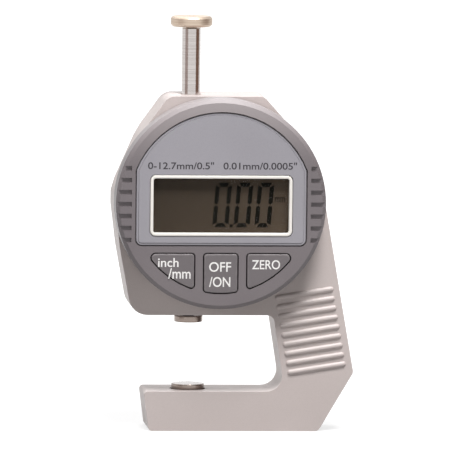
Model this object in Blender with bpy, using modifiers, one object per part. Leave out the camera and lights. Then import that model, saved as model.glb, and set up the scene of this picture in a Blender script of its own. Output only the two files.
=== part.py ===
"""Pocket digital thickness gauge: a C-shaped body with a round digital dial, a lifting spindle and a
flat lower anvil. X runs right along the face, Z up, and the face looks towards -Y. The origin is on
the flat foot, right below the spindle's axis. The spindle stands raised, as its brake holds it."""

import math

import bmesh
import bpy
from mathutils import Vector

MM = 0.001

# Fits
SEAT_GAP = 0.3 * MM
BORE_GAP = 0.3 * MM
OVERRUN = 1.0 * MM
WELD = 0.01 * MM

# Measuring line
JAW_HEIGHT = 8.3 * MM
ANVIL_RISE = 1.1 * MM
CLOSED_GAP = 0.3 * MM
TRAVEL = 12.7 * MM
ANVIL_RADIUS = 3.45 * MM
ANVIL_SINK = 0.3 * MM
ANVIL_STEM_RADIUS = 1.5 * MM
ANVIL_STEM_LENGTH = 4.5 * MM
FACE_CHAMFER = 0.25 * MM

# Spindle, contact tip and lifting knob
SPINDLE_RADIUS = 1.95 * MM
TIP_RADIUS = 3.0 * MM
TIP_HEIGHT = 1.4 * MM
TIP_CLEARANCE = 0.6 * MM
TIP_STUD_RADIUS = 1.0 * MM
TIP_STUD_LENGTH = 4.0 * MM
KNOB_RADIUS = 4.35 * MM
KNOB_HEIGHT = 2.2 * MM
KNOB_CHAMFER = 0.4 * MM
KNOB_CLEARANCE = 1.5 * MM
KNOB_CROWN = 0.6 * MM
KNOB_STUD_RADIUS = 1.1 * MM

# Display
WINDOW_WIDTH = 28.4 * MM
WINDOW_HEIGHT = 11.4 * MM
WINDOW_CORNER = 0.5 * MM
DISPLAY_DROP = 0.3 * MM
TRIM_BAND = 0.65 * MM
TRIM_RISE = 0.15 * MM
TRIM_LIP = 0.5 * MM
TRIM_FLANGE_WALL = 0.7 * MM
TRIM_DEPTH = 2.3 * MM
PANE_GAP = 0.2 * MM
PANE_RECESS = 0.6 * MM
PANE_THICKNESS = 0.7 * MM
LCD_LAP = 0.3 * MM
LCD_THICKNESS = 1.4 * MM

# Board and its fixings
BOARD_THICKNESS = 1.0 * MM
BOARD_EDGE_GAP = 0.5 * MM
POST_RADIUS = 1.5 * MM
POST_RISE = 4.0 * MM
POST_STANDOFF = 0.2 * MM
TOP_POST_RISE = 14.3 * MM
BOARD_SCREW_RADIUS = 0.6 * MM
BOARD_SCREW_LENGTH = 4.5 * MM
BOARD_HEAD_RADIUS = 1.2 * MM
BOARD_HEAD_HEIGHT = 0.8 * MM
BOARD_SCREW_MARGIN = 0.35 * MM
CHIP_SIDE = 7.0 * MM
CHIP_THICKNESS = 1.0 * MM
STRIP_CONNECTOR_WIDTH = 24.0 * MM
STRIP_CONNECTOR_HEIGHT = 1.6 * MM

# Dial housing
BEZEL_SEAT = 2.5 * MM
BEZEL_DEPTH = 7.0 * MM
BEZEL_WALL = 1.5 * MM
BEZEL_CHAMFER = 0.8 * MM
FACE_WALL = 2.0 * MM
PLATE_SINK = 0.9 * MM
PLATE_THICKNESS = 0.5 * MM
PLATE_MARGIN = 2.9 * MM
PLATE_SIDE_MARGIN = 4.25 * MM
PLATE_DROP = 8.55 * MM
PLATE_CORNER = 1.2 * MM
PLATE_EDGE = 0.15 * MM
PLATE_GAP = 0.25 * MM
GRIP_COUNT = 7
GRIP_PITCH = 2.5 * MM
GRIP_HEIGHT = 1.0 * MM
GRIP_DEPTH = 0.5 * MM
GRIP_MARGIN = 3.25 * MM
LUG_RADIUS = 2.2 * MM
LUG_ANGLE = math.radians(41)
LUG_WEB = 2.4 * MM
LUG_SCREW_DEPTH = 9.0 * MM

# Keys
KEY_TRAVEL = 0.5 * MM
KEY_RISE = 0.2 * MM
KEY_GAP = 0.25 * MM
KEY_ROW_GAP = 1.8 * MM
KEY_MARGIN = 3.45 * MM
KEY_SPACING = 2.05 * MM
POWER_KEY_WIDTH = 7.0 * MM
KEY_CORNER = 0.6 * MM
KEY_TIP_RADIUS = 0.9 * MM
KEY_EDGE = 0.2 * MM
KEY_LAP = 0.8 * MM
KEY_FLANGE = 0.6 * MM
KEY_STEM_RADIUS = 1.2 * MM
SIDE_SWITCH_MARGIN = 0.6 * MM
SIDE_SWITCH_ANGLE = math.radians(-58.4)
SWITCH_SIDE = 3.8 * MM
SWITCH_HEIGHT = 1.9 * MM
PLUNGER_RADIUS = 0.9 * MM
PLUNGER_HEIGHT = 0.9 * MM

# Cast body
BODY_DEPTH = 14.0 * MM
BACK_WALL = 2.5 * MM
BODY_EDGE = 0.5 * MM
DIAL_OFFSET = 5.5 * MM
HEAD_CHIN = 1.9 * MM
THROAT_DEPTH = 17.3 * MM
THROAT_FLARE = 2.6 * MM
THROAT_TOP_CORNER = 1.5 * MM
THROAT_FOOT_CORNER = 3.4 * MM
LEG_WIDTH = 14.35 * MM
HEEL_HEIGHT = 12.4 * MM
HEEL_RUN = 7.3 * MM
HEEL_CORNER = 1.2 * MM
JAW_REACH = 9.8 * MM
JAW_LEAN = 1.15 * MM
JAW_CORNER = 0.8 * MM
RIB_COUNT = 9
RIB_PITCH = 2.0 * MM
RIB_LENGTH = 12.6 * MM
RIB_RADIUS = 0.65 * MM
RIB_SINK = 0.22 * MM
RIB_INSET = 1.15 * MM
RIB_START = 2.1 * MM
RIB_TURN = math.radians(1)

# Guides inside the head
BUSH_WALL = 1.0 * MM
BUSH_LIP = 0.8 * MM
UPPER_BUSH_LENGTH = 3.2 * MM
LOWER_BUSH_LENGTH = 4.4 * MM
CARRIER_HEIGHT = 8.0 * MM
CARRIER_WALL = 1.2 * MM
CARRIER_DEPTH = 6.6 * MM
STRIP_LENGTH = 20.0 * MM
STRIP_WIDTH = 6.0 * MM
STRIP_THICKNESS = 0.9 * MM
PIN_RADIUS = 0.8 * MM
PIN_OFFSET = 5.4 * MM
PIN_TOP_WALL = 1.0 * MM
FORK_TONGUE = 0.5 * MM
CLAMP_RADIUS = 0.8 * MM
CLAMP_HEAD_RADIUS = 1.5 * MM
CLAMP_HEAD_HEIGHT = 0.8 * MM
CLAMP_HEIGHT = 2.4 * MM
LEAF_WIDTH = 3.0 * MM
LEAF_THICKNESS = 0.4 * MM
LEAF_FOOT = 3.4 * MM
LEAF_TONGUE = 3.4 * MM
LEAF_TAIL = 0.7 * MM
LEAF_SCREW_RADIUS = 0.6 * MM
LEAF_HEAD_RADIUS = 1.2 * MM
LEAF_SCREW_DEPTH = 1.2 * MM

# Screws through the back
BODY_SCREW_RADIUS = 0.8 * MM
BODY_HEAD_RADIUS = 1.9 * MM
BODY_HEAD_HEIGHT = 1.0 * MM
HEAD_RECESS = 0.2 * MM
SLOT_WIDTH = 0.5 * MM
SLOT_DEPTH = 0.4 * MM

# Battery and its cap
CELL_RADIUS = 5.8 * MM
CELL_THICKNESS = 5.4 * MM
CELL_STEP = 0.5 * MM
HOLDER_WALL = 0.8 * MM
HOLDER_GAP = 0.6 * MM
CAP_FLANGE_LAP = 1.3 * MM
CAP_FLANGE = 0.9 * MM
CAP_RECESS = 0.2 * MM
CAP_STANDOFF = 0.1 * MM
CAP_SLOT_WIDTH = 1.6 * MM
CAP_SLOT_DEPTH = 0.5 * MM
CAP_SLOT_LENGTH = 11.0 * MM
CONTACT_RADIUS = 3.0 * MM
CONTACT_FOOT_RADIUS = 1.4 * MM
CONTACT_THICKNESS = 0.4 * MM
CONTACT_WIDTH = 3.0 * MM

# Corners of the head's outline, as shares of the bezel's radius about its centre
HEAD_TOP_RIGHT_SHARES = (0.427, 1.0, 0.07)
HEAD_SHOULDER_SHARES = (0.805, 0.577, 0.45)
HEAD_LEG_SHARES = (1.023, -0.036, 0.36)
HEAD_CHIN_SHARES = (-0.8175, 0.18)
HEAD_WAIST_SHARES = (-0.936, -0.45, 0.55)
HEAD_BULGE_SHARES = (-1.0, 0.059, 0.45)
HEAD_CHEEK_SHARES = (-0.745, 0.64, 0.55)
HEAD_TOP_LEFT_SHARES = (-0.486, 1.0, 0.136)
CORNER_REACH_SHARE = 0.45
LEAF_TOUCH_SHARE = 0.75
LEAF_HEAD_SHARE = 0.45
POST_ROOT_SHARE = 0.25

# Facets
ARC_STEP = math.radians(14)
BEZEL_STEPS = 96
ROUND_STEPS = 40
SMALL_STEPS = 20
RIB_STEPS = 12
CAPSULE_RINGS = 3

# Levels along the measuring line
ANVIL_TOP_Z = JAW_HEIGHT + ANVIL_RISE
TIP_BOTTOM_Z = ANVIL_TOP_Z + CLOSED_GAP + TRAVEL
TIP_TOP_Z = TIP_BOTTOM_Z + TIP_HEIGHT
HEAD_UNDERSIDE_Z = TIP_TOP_Z + TIP_CLEARANCE

# Display stack, out from the window's opening
TRIM_HALF_WIDTH = WINDOW_WIDTH / 2 + TRIM_BAND
TRIM_HALF_HEIGHT = WINDOW_HEIGHT / 2 + TRIM_BAND
LCD_HALF_WIDTH = WINDOW_WIDTH / 2 + LCD_LAP
LCD_HALF_HEIGHT = WINDOW_HEIGHT / 2 + LCD_LAP
FLANGE_HALF_WIDTH = LCD_HALF_WIDTH + SEAT_GAP + TRIM_FLANGE_WALL
FLANGE_HALF_HEIGHT = LCD_HALF_HEIGHT + SEAT_GAP + TRIM_FLANGE_WALL
POST_SIDE = FLANGE_HALF_WIDTH + SEAT_GAP + POST_STANDOFF + POST_RADIUS
POCKET_RADIUS = math.hypot(POST_SIDE, POST_RISE) + BOARD_HEAD_RADIUS + BOARD_SCREW_MARGIN
BEZEL_RADIUS = POCKET_RADIUS + BEZEL_SEAT

# Places on the body
DIAL_X = DIAL_OFFSET
DIAL_Z = HEAD_UNDERSIDE_Z + HEAD_CHIN + BEZEL_RADIUS
DISPLAY_Z = DIAL_Z - DISPLAY_DROP
HEAD_TOP_Z = DIAL_Z + BEZEL_RADIUS
FRONT_Y = -BODY_DEPTH / 2
BACK_Y = BODY_DEPTH / 2
POCKET_FLOOR_Y = BACK_Y - BACK_WALL
BEZEL_FRONT_Y = FRONT_Y - BEZEL_DEPTH
BEZEL_INNER_Y = BEZEL_FRONT_Y + FACE_WALL
PLATE_FLOOR_Y = BEZEL_FRONT_Y + PLATE_SINK
PLATE_BACK_Y = PLATE_FLOOR_Y - SEAT_GAP
PLATE_FRONT_Y = PLATE_BACK_Y - PLATE_THICKNESS
KNOB_BOTTOM_Z = HEAD_TOP_Z + KNOB_CLEARANCE + TRAVEL
KNOB_TOP_Z = KNOB_BOTTOM_Z + KNOB_HEIGHT
THROAT_FOOT_X = THROAT_DEPTH + THROAT_FLARE
HEEL_X = THROAT_FOOT_X + LEG_WIDTH

# Depths of what stands in the head, front to back
TRIM_FRONT_Y = PLATE_FRONT_Y - TRIM_RISE
FLANGE_FRONT_Y = PLATE_BACK_Y + SEAT_GAP
TRIM_BACK_Y = FLANGE_FRONT_Y + TRIM_DEPTH
LCD_FRONT_Y = FLANGE_FRONT_Y + TRIM_LIP + SEAT_GAP
LCD_BACK_Y = LCD_FRONT_Y + LCD_THICKNESS
KEY_FRONT_Y = BEZEL_FRONT_Y - KEY_RISE
KEY_FLANGE_FRONT_Y = BEZEL_INNER_Y + SEAT_GAP
KEY_FLANGE_BACK_Y = KEY_FLANGE_FRONT_Y + KEY_FLANGE
STRIP_BACK_Y = -CARRIER_DEPTH / 2 - SEAT_GAP
STRIP_FRONT_Y = STRIP_BACK_Y - STRIP_THICKNESS
BOARD_BACK_Y = STRIP_FRONT_Y - SEAT_GAP
BOARD_FRONT_Y = BOARD_BACK_Y - BOARD_THICKNESS
SWITCH_BACK_Y = BOARD_FRONT_Y - SEAT_GAP
SWITCH_FRONT_Y = SWITCH_BACK_Y - SWITCH_HEIGHT
PLUNGER_FRONT_Y = SWITCH_FRONT_Y - PLUNGER_HEIGHT
KEY_STEM_END_Y = PLUNGER_FRONT_Y - KEY_TRAVEL - SEAT_GAP
LUG_FRONT_Y = KEY_FLANGE_BACK_Y + KEY_TRAVEL + SEAT_GAP

# Brake screw's head, in the room between the leaf's foot and the spindle
LEAF_HEAD_ROOM = POCKET_FLOOR_Y - 2 * SEAT_GAP - LEAF_THICKNESS - SPINDLE_RADIUS
LEAF_HEAD_HEIGHT = LEAF_HEAD_ROOM * LEAF_HEAD_SHARE

# Battery bay, clear of the carrier's fork
FORK_END_X = PIN_OFFSET + PIN_RADIUS + BORE_GAP + FORK_TONGUE
HOLDER_RADIUS = CELL_RADIUS + BORE_GAP + HOLDER_WALL
BATTERY_X = FORK_END_X + HOLDER_GAP + HOLDER_RADIUS
BATTERY_Z = DIAL_Z
CAP_BORE_RADIUS = CELL_RADIUS + HOLDER_WALL
CAP_FLANGE_RADIUS = CAP_BORE_RADIUS + CAP_FLANGE_LAP
CAP_BACK_Y = BACK_Y - CAP_RECESS
CAP_SHOULDER_Y = CAP_BACK_Y - CAP_FLANGE
CAP_FRONT_Y = POCKET_FLOOR_Y + CAP_STANDOFF
CELL_BACK_Y = CAP_FRONT_Y - SEAT_GAP
CELL_FRONT_Y = CELL_BACK_Y - CELL_THICKNESS
HOLDER_FRONT_Y = BOARD_BACK_Y + SEAT_GAP + BOARD_HEAD_HEIGHT + SEAT_GAP

# Key row
KEY_TOP = -PLATE_DROP - KEY_ROW_GAP
KEY_ORBIT = BEZEL_RADIUS - KEY_MARGIN
SIDE_KEY_START = POWER_KEY_WIDTH / 2 + KEY_SPACING
SWITCH_REACH = SWITCH_SIDE / math.sqrt(2)
SIDE_SWITCH_ORBIT = POCKET_RADIUS - BOARD_EDGE_GAP - SIDE_SWITCH_MARGIN - SWITCH_REACH
SIDE_KEY_X = SIDE_SWITCH_ORBIT * math.cos(SIDE_SWITCH_ANGLE)
SIDE_KEY_Z = SIDE_SWITCH_ORBIT * math.sin(SIDE_SWITCH_ANGLE)
POWER_KEY_Z = (KEY_TOP - KEY_ORBIT) / 2

# Screw and lug places about the dial's centre
LUG_ORBIT = POCKET_RADIUS - SEAT_GAP - LUG_RADIUS
LUG_SIDE = LUG_ORBIT * math.cos(LUG_ANGLE)
LUG_RISE = LUG_ORBIT * math.sin(LUG_ANGLE)
LUGS = ((-LUG_SIDE, LUG_RISE), (LUG_SIDE, LUG_RISE), (-LUG_SIDE, -LUG_RISE), (LUG_SIDE, -LUG_RISE))
POSTS = ((-POST_SIDE, POST_RISE), (POST_SIDE, POST_RISE), (0, TOP_POST_RISE))

# Carrier at rest, raised
CARRIER_Z = DIAL_Z + TRAVEL / 2
CARRIER_LEFT_X = -(SPINDLE_RADIUS + BORE_GAP + CARRIER_WALL)


def clear_scene():
    for obj in list(bpy.data.objects):
        bpy.data.objects.remove(obj, do_unlink=True)


def new_collection(name):
    collection = bpy.data.collections.new(name)
    bpy.context.scene.collection.children.link(collection)
    return collection


def finish(obj, collection, finish_of=None):
    """Puts an object in its collection, as a part with its material or as a hidden cutter."""
    collection.objects.link(obj)
    if finish_of is None:
        obj.hide_render = True
        obj.display_type = "WIRE"
    else:
        obj.data.materials.append(finish_of)
    return obj


def material(name, colour, roughness, metallic=0.0):
    made = bpy.data.materials.new(name)
    made.use_nodes = True
    shader = made.node_tree.nodes["Principled BSDF"]
    shader.inputs["Base Color"].default_value = (*colour, 1.0)
    shader.inputs["Roughness"].default_value = roughness
    shader.inputs["Metallic"].default_value = metallic
    return made


def about(outline, dx, dz):
    """An outline given about one centre, moved to be about a place off that centre."""
    return [(x - dx, z - dz) for x, z in outline]


def rounded(corners):
    """Outline of a polygon whose corners (x, z, radius) become arcs, each limited by its sides."""
    outline = []
    for index, (x, z, radius) in enumerate(corners):
        corner = Vector((x, z))
        if radius <= 0:
            outline.append((x, z))
            continue
        back = Vector(corners[index - 1][:2]) - corner
        ahead = Vector(corners[(index + 1) % len(corners)][:2]) - corner
        half = back.angle(ahead) / 2
        reach = min(radius / math.tan(half), CORNER_REACH_SHARE * min(back.length, ahead.length))
        bend = reach * math.tan(half)
        inward = (back.normalized() + ahead.normalized()).normalized()
        centre = corner + inward * bend / math.sin(half)
        first = corner + back.normalized() * reach - centre
        last = corner + ahead.normalized() * reach - centre
        start = math.atan2(first.y, first.x)
        sweep = math.atan2(first.x * last.y - first.y * last.x, first.dot(last))
        steps = max(1, round(abs(sweep) / ARC_STEP))
        for step in range(steps + 1):
            angle = start + sweep * step / steps
            outline.append((centre.x + bend * math.cos(angle), centre.y + bend * math.sin(angle)))
    return outline


def rectangle(half_width, half_height, radius):
    return rounded(
        (
            (half_width, half_height, radius),
            (-half_width, half_height, radius),
            (-half_width, -half_height, radius),
            (half_width, -half_height, radius),
        )
    )


def circle(radius, steps, x=0, z=0):
    turns = [2 * math.pi * step / steps for step in range(steps)]
    return [(x + radius * math.cos(turn), z + radius * math.sin(turn)) for turn in turns]


def arc(radius, start, end, x=0, z=0):
    """Points of an arc, about the dial's centre unless another is given, between two angles."""
    steps = max(2, round(abs(end - start) / ARC_STEP * 2))
    angles = [start + (end - start) * step / steps for step in range(steps + 1)]
    return [(x + radius * math.cos(angle), z + radius * math.sin(angle)) for angle in angles]


def flat_piece(name, loops, front, back, centre, collection, finish_of=None, edge=0):
    """A plate in the face's plane, from front to back, whose outline and holes are about its centre."""
    curve = bpy.data.curves.new(name, "CURVE")
    curve.dimensions = "2D"
    curve.fill_mode = "BOTH"
    curve.extrude = (back - front) / 2
    for loop in loops:
        spline = curve.splines.new("POLY")
        spline.points.add(len(loop) - 1)
        for point, (x, z) in zip(spline.points, loop):
            point.co = (x, z, 0, 1)
        spline.use_cyclic_u = True
    guide = bpy.data.objects.new(name + "_outline", curve)
    guide.rotation_euler.x = math.pi / 2
    guide.location = (centre[0], (front + back) / 2, centre[1])
    bpy.context.scene.collection.objects.link(guide)
    bpy.context.view_layer.update()
    graph = bpy.context.evaluated_depsgraph_get()
    mesh = bpy.data.meshes.new_from_object(guide.evaluated_get(graph))
    obj = bpy.data.objects.new(name, mesh)
    obj.matrix_world = guide.matrix_world.copy()
    bpy.data.objects.remove(guide, do_unlink=True)
    weld(mesh)
    finish(obj, collection, finish_of)
    if edge:
        soften(obj, edge)
    return obj


def weld(mesh):
    shape = bmesh.new()
    shape.from_mesh(mesh)
    bmesh.ops.remove_doubles(shape, verts=shape.verts, dist=WELD)
    bmesh.ops.recalc_face_normals(shape, faces=shape.faces)
    shape.to_mesh(mesh)
    shape.free()


def soften(obj, width, segments=1):
    bevel = obj.modifiers.new("Edges", "BEVEL")
    bevel.width = width
    bevel.segments = segments
    bevel.limit_method = "ANGLE"
    bevel.angle_limit = math.radians(60)
    bevel.use_clamp_overlap = True


def turned(name, profile, place, collection, finish_of=None, steps=SMALL_STEPS, along="Z"):
    """A turned piece. The profile's (radius, level) points run down the outer side, the levels
    being heights above place, or for a piece along Y depths behind it, given front to back."""
    sign = 1 if along == "Z" else -1
    mesh = bpy.data.meshes.new(name)
    ring = profile[0][0] > 0
    edges = [(index, index + 1) for index in range(len(profile) - 1)]
    if ring:
        edges.append((len(profile) - 1, 0))
    mesh.from_pydata([(radius, 0, sign * level) for radius, level in profile], edges, [])
    obj = bpy.data.objects.new(name, mesh)
    obj.location = place
    if along == "Y":
        obj.rotation_euler.x = math.pi / 2
    screw = obj.modifiers.new("Turn", "SCREW")
    screw.angle = 2 * math.pi
    screw.steps = steps
    screw.render_steps = steps
    screw.use_merge_vertices = True
    screw.merge_threshold = WELD
    screw.use_smooth_shade = True
    return finish(obj, collection, finish_of)


def rod(radius, top, bottom):
    """Profile of a plain cylinder between two levels."""
    return ((0, top), (radius, top), (radius, bottom), (0, bottom))


def tube(outer, inner, top, bottom):
    return ((outer, top), (outer, bottom), (inner, bottom), (inner, top))


def box(name, low, high, collection, finish_of=None, roll=0):
    """A block between two corners, rolled about its middle in the face's plane."""
    shape = bmesh.new()
    bmesh.ops.create_cube(shape, size=1.0)
    size = [end - start for start, end in zip(low, high)]
    bmesh.ops.scale(shape, vec=size, verts=shape.verts)
    mesh = bpy.data.meshes.new(name)
    shape.to_mesh(mesh)
    shape.free()
    obj = bpy.data.objects.new(name, mesh)
    obj.location = [(start + end) / 2 for start, end in zip(low, high)]
    obj.rotation_euler.y = roll
    return finish(obj, collection, finish_of)


def shape_with(obj, tool, operation, solver="EXACT"):
    """Cuts a piece with a tool, or joins the tool to it."""
    boolean = obj.modifiers.new(tool.name, "BOOLEAN")
    boolean.operation = operation
    boolean.solver = solver
    boolean.object = tool


def cut(obj, tool, solver="EXACT"):
    shape_with(obj, tool, "DIFFERENCE", solver)


def join(obj, tool):
    shape_with(obj, tool, "UNION")


def on_dial(dx, dz, depth=0):
    return (DIAL_X + dx, depth, DIAL_Z + dz)


def head_corner(shares):
    """An outline corner (x, z, radius) about the dial, from shares of the bezel's radius."""
    across, up, bend = shares
    return (DIAL_X + across * BEZEL_RADIUS, DIAL_Z + up * BEZEL_RADIUS, bend * BEZEL_RADIUS)


def frame_outline():
    """The C shape, from the head's top right corner down the grip leg and round the jaw."""
    chin_share, chin_bend_share = HEAD_CHIN_SHARES
    return rounded(
        (
            head_corner(HEAD_TOP_RIGHT_SHARES),
            head_corner(HEAD_SHOULDER_SHARES),
            head_corner(HEAD_LEG_SHARES),
            (HEEL_X, HEEL_HEIGHT, HEEL_CORNER),
            (HEEL_X - HEEL_RUN, 0, HEEL_CORNER),
            (JAW_LEAN - JAW_REACH, 0, JAW_CORNER),
            (-JAW_REACH, JAW_HEIGHT, JAW_CORNER),
            (THROAT_FOOT_X, JAW_HEIGHT, THROAT_FOOT_CORNER),
            (THROAT_DEPTH, HEAD_UNDERSIDE_Z, THROAT_TOP_CORNER),
            (DIAL_X + chin_share * BEZEL_RADIUS, HEAD_UNDERSIDE_Z, chin_bend_share * BEZEL_RADIUS),
            head_corner(HEAD_WAIST_SHARES),
            head_corner(HEAD_BULGE_SHARES),
            head_corner(HEAD_CHEEK_SHARES),
            head_corner(HEAD_TOP_LEFT_SHARES),
        )
    )


def capsule(radius, length):
    """Profile of a bar with round ends, centred on its middle."""
    half = length / 2 - radius
    turns = [math.pi / 2 * ring / CAPSULE_RINGS for ring in range(CAPSULE_RINGS + 1)]
    upper = [(radius * math.sin(turn), half + radius * math.cos(turn)) for turn in turns]
    upper[0] = (0, half + radius)
    return upper + [(across, -level) for across, level in reversed(upper)]


def add_ribs(frame, cutters):
    """Raised half-round ribs across the grip leg, turned a little from square to its outer edge."""
    leg_x, leg_z, _ = head_corner(HEAD_LEG_SHARES)
    edge = Vector((leg_x - HEEL_X, leg_z - HEEL_HEIGHT)).normalized()
    rise = math.atan2(-edge.x, edge.y) - RIB_TURN
    across = Vector((math.cos(rise), math.sin(rise)))
    first = Vector((HEEL_X, HEEL_HEIGHT)) + edge * RIB_START
    for index in range(RIB_COUNT):
        middle = first + edge * (index * RIB_PITCH) - across * (RIB_INSET + RIB_LENGTH / 2)
        place = (middle.x, FRONT_Y + RIB_SINK, middle.y)
        name = f"rib_{index + 1}"
        rib = turned(name, capsule(RIB_RADIUS, RIB_LENGTH), place, cutters, steps=RIB_STEPS)
        rib.rotation_euler.y = math.atan2(across.x, across.y)
        join(frame, rib)


def make_frame(parts, cutters, paint):
    frame = flat_piece("frame", [frame_outline()], FRONT_Y, BACK_Y, (0, 0), parts, paint)
    soften(frame, BODY_EDGE, 2)
    add_ribs(frame, cutters)
    pocket = rod(POCKET_RADIUS, FRONT_Y - OVERRUN, POCKET_FLOOR_Y)
    place = on_dial(0, 0)
    cut(frame, turned("pocket", pocket, place, cutters, steps=BEZEL_STEPS, along="Y"))
    bore = SPINDLE_RADIUS + BORE_GAP
    seat = bore + BUSH_WALL + BORE_GAP
    line = (
        (0, HEAD_TOP_Z + OVERRUN),
        (bore, HEAD_TOP_Z + OVERRUN),
        (bore, HEAD_TOP_Z - BUSH_LIP),
        (seat, HEAD_TOP_Z - BUSH_LIP),
        (seat, HEAD_UNDERSIDE_Z + BUSH_LIP),
        (bore, HEAD_UNDERSIDE_Z + BUSH_LIP),
        (bore, HEAD_UNDERSIDE_Z - OVERRUN / 2),
        (0, HEAD_UNDERSIDE_Z - OVERRUN / 2),
    )
    cut(frame, turned("spindle_line", line, (0, 0, 0), cutters, steps=ROUND_STEPS))
    anvil_seat = (
        (0, JAW_HEIGHT + OVERRUN),
        (ANVIL_RADIUS + BORE_GAP, JAW_HEIGHT + OVERRUN),
        (ANVIL_RADIUS + BORE_GAP, JAW_HEIGHT - ANVIL_SINK - SEAT_GAP),
        (ANVIL_STEM_RADIUS + BORE_GAP, JAW_HEIGHT - ANVIL_SINK - SEAT_GAP),
        (ANVIL_STEM_RADIUS + BORE_GAP, JAW_HEIGHT - ANVIL_SINK - ANVIL_STEM_LENGTH - SEAT_GAP),
        (0, JAW_HEIGHT - ANVIL_SINK - ANVIL_STEM_LENGTH - SEAT_GAP),
    )
    cut(frame, turned("anvil_seat", anvil_seat, (0, 0, 0), cutters, steps=ROUND_STEPS))
    pin_hole = rod(PIN_RADIUS + BORE_GAP, HEAD_TOP_Z - PIN_TOP_WALL, HEAD_UNDERSIDE_Z - OVERRUN / 2)
    cut(frame, turned("pin_hole", pin_hole, (PIN_OFFSET, 0, 0), cutters))
    cap_seat = (
        (0, POCKET_FLOOR_Y - OVERRUN),
        (CAP_BORE_RADIUS + BORE_GAP, POCKET_FLOOR_Y - OVERRUN),
        (CAP_BORE_RADIUS + BORE_GAP, CAP_SHOULDER_Y - SEAT_GAP),
        (CAP_FLANGE_RADIUS + BORE_GAP, CAP_SHOULDER_Y - SEAT_GAP),
        (CAP_FLANGE_RADIUS + BORE_GAP, BACK_Y + OVERRUN),
        (0, BACK_Y + OVERRUN),
    )
    place = (BATTERY_X, 0, BATTERY_Z)
    cut(frame, turned("cap_seat", cap_seat, place, cutters, steps=ROUND_STEPS, along="Y"))
    leaf_hole = rod(
        LEAF_SCREW_RADIUS + BORE_GAP,
        POCKET_FLOOR_Y - OVERRUN,
        POCKET_FLOOR_Y + LEAF_SCREW_DEPTH + SEAT_GAP,
    )
    cut(frame, turned("leaf_hole", leaf_hole, (0, 0, leaf_screw_z()), cutters, along="Y"))
    head_seat = BACK_Y - HEAD_RECESS - BODY_HEAD_HEIGHT - SEAT_GAP
    screw_seat = (
        (0, POCKET_FLOOR_Y - OVERRUN),
        (BODY_SCREW_RADIUS + BORE_GAP, POCKET_FLOOR_Y - OVERRUN),
        (BODY_SCREW_RADIUS + BORE_GAP, head_seat),
        (BODY_HEAD_RADIUS + BORE_GAP, head_seat),
        (BODY_HEAD_RADIUS + BORE_GAP, BACK_Y + OVERRUN),
        (0, BACK_Y + OVERRUN),
    )
    for index, (dx, dz) in enumerate(LUGS):
        place = on_dial(dx, dz)
        cut(frame, turned(f"screw_seat_{index + 1}", screw_seat, place, cutters, along="Y"))
    return frame


def make_anvil(parts, steel):
    bottom = JAW_HEIGHT - ANVIL_SINK
    profile = (
        (0, ANVIL_TOP_Z),
        (ANVIL_RADIUS - FACE_CHAMFER, ANVIL_TOP_Z),
        (ANVIL_RADIUS, ANVIL_TOP_Z - FACE_CHAMFER),
        (ANVIL_RADIUS, bottom),
        (ANVIL_STEM_RADIUS, bottom),
        (ANVIL_STEM_RADIUS, bottom - ANVIL_STEM_LENGTH),
        (0, bottom - ANVIL_STEM_LENGTH),
    )
    turned("anvil", profile, (0, 0, 0), parts, steel, ROUND_STEPS)


def make_spindle(parts, steel, nickel):
    """Spindle with its contact tip below and its lifting knob above, and what it carries inside."""
    bottom = TIP_TOP_Z + SEAT_GAP
    shoulder = KNOB_BOTTOM_Z - SEAT_GAP
    knob_bore_top = KNOB_TOP_Z - KNOB_CROWN
    profile = (
        (0, knob_bore_top - SEAT_GAP),
        (KNOB_STUD_RADIUS, knob_bore_top - SEAT_GAP),
        (KNOB_STUD_RADIUS, shoulder),
        (SPINDLE_RADIUS, shoulder),
        (SPINDLE_RADIUS, bottom),
        (TIP_STUD_RADIUS + BORE_GAP, bottom),
        (TIP_STUD_RADIUS + BORE_GAP, TIP_TOP_Z + TIP_STUD_LENGTH + SEAT_GAP),
        (0, TIP_TOP_Z + TIP_STUD_LENGTH + SEAT_GAP),
    )
    turned("spindle", profile, (0, 0, 0), parts, steel, ROUND_STEPS)
    tip = (
        (0, TIP_TOP_Z + TIP_STUD_LENGTH),
        (TIP_STUD_RADIUS, TIP_TOP_Z + TIP_STUD_LENGTH),
        (TIP_STUD_RADIUS, TIP_TOP_Z),
        (TIP_RADIUS - FACE_CHAMFER, TIP_TOP_Z),
        (TIP_RADIUS, TIP_TOP_Z - FACE_CHAMFER),
        (TIP_RADIUS, TIP_BOTTOM_Z + FACE_CHAMFER),
        (TIP_RADIUS - FACE_CHAMFER, TIP_BOTTOM_Z),
        (0, TIP_BOTTOM_Z),
    )
    turned("contact_tip", tip, (0, 0, 0), parts, steel, ROUND_STEPS)
    knob = (
        (0, KNOB_TOP_Z),
        (KNOB_RADIUS - KNOB_CHAMFER, KNOB_TOP_Z),
        (KNOB_RADIUS, KNOB_TOP_Z - KNOB_CHAMFER),
        (KNOB_RADIUS, KNOB_BOTTOM_Z + KNOB_CHAMFER),
        (KNOB_RADIUS - KNOB_CHAMFER, KNOB_BOTTOM_Z),
        (KNOB_STUD_RADIUS + BORE_GAP, KNOB_BOTTOM_Z),
        (KNOB_STUD_RADIUS + BORE_GAP, knob_bore_top),
        (0, knob_bore_top),
    )
    turned("lifting_knob", knob, (0, 0, 0), parts, nickel, ROUND_STEPS)


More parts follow.
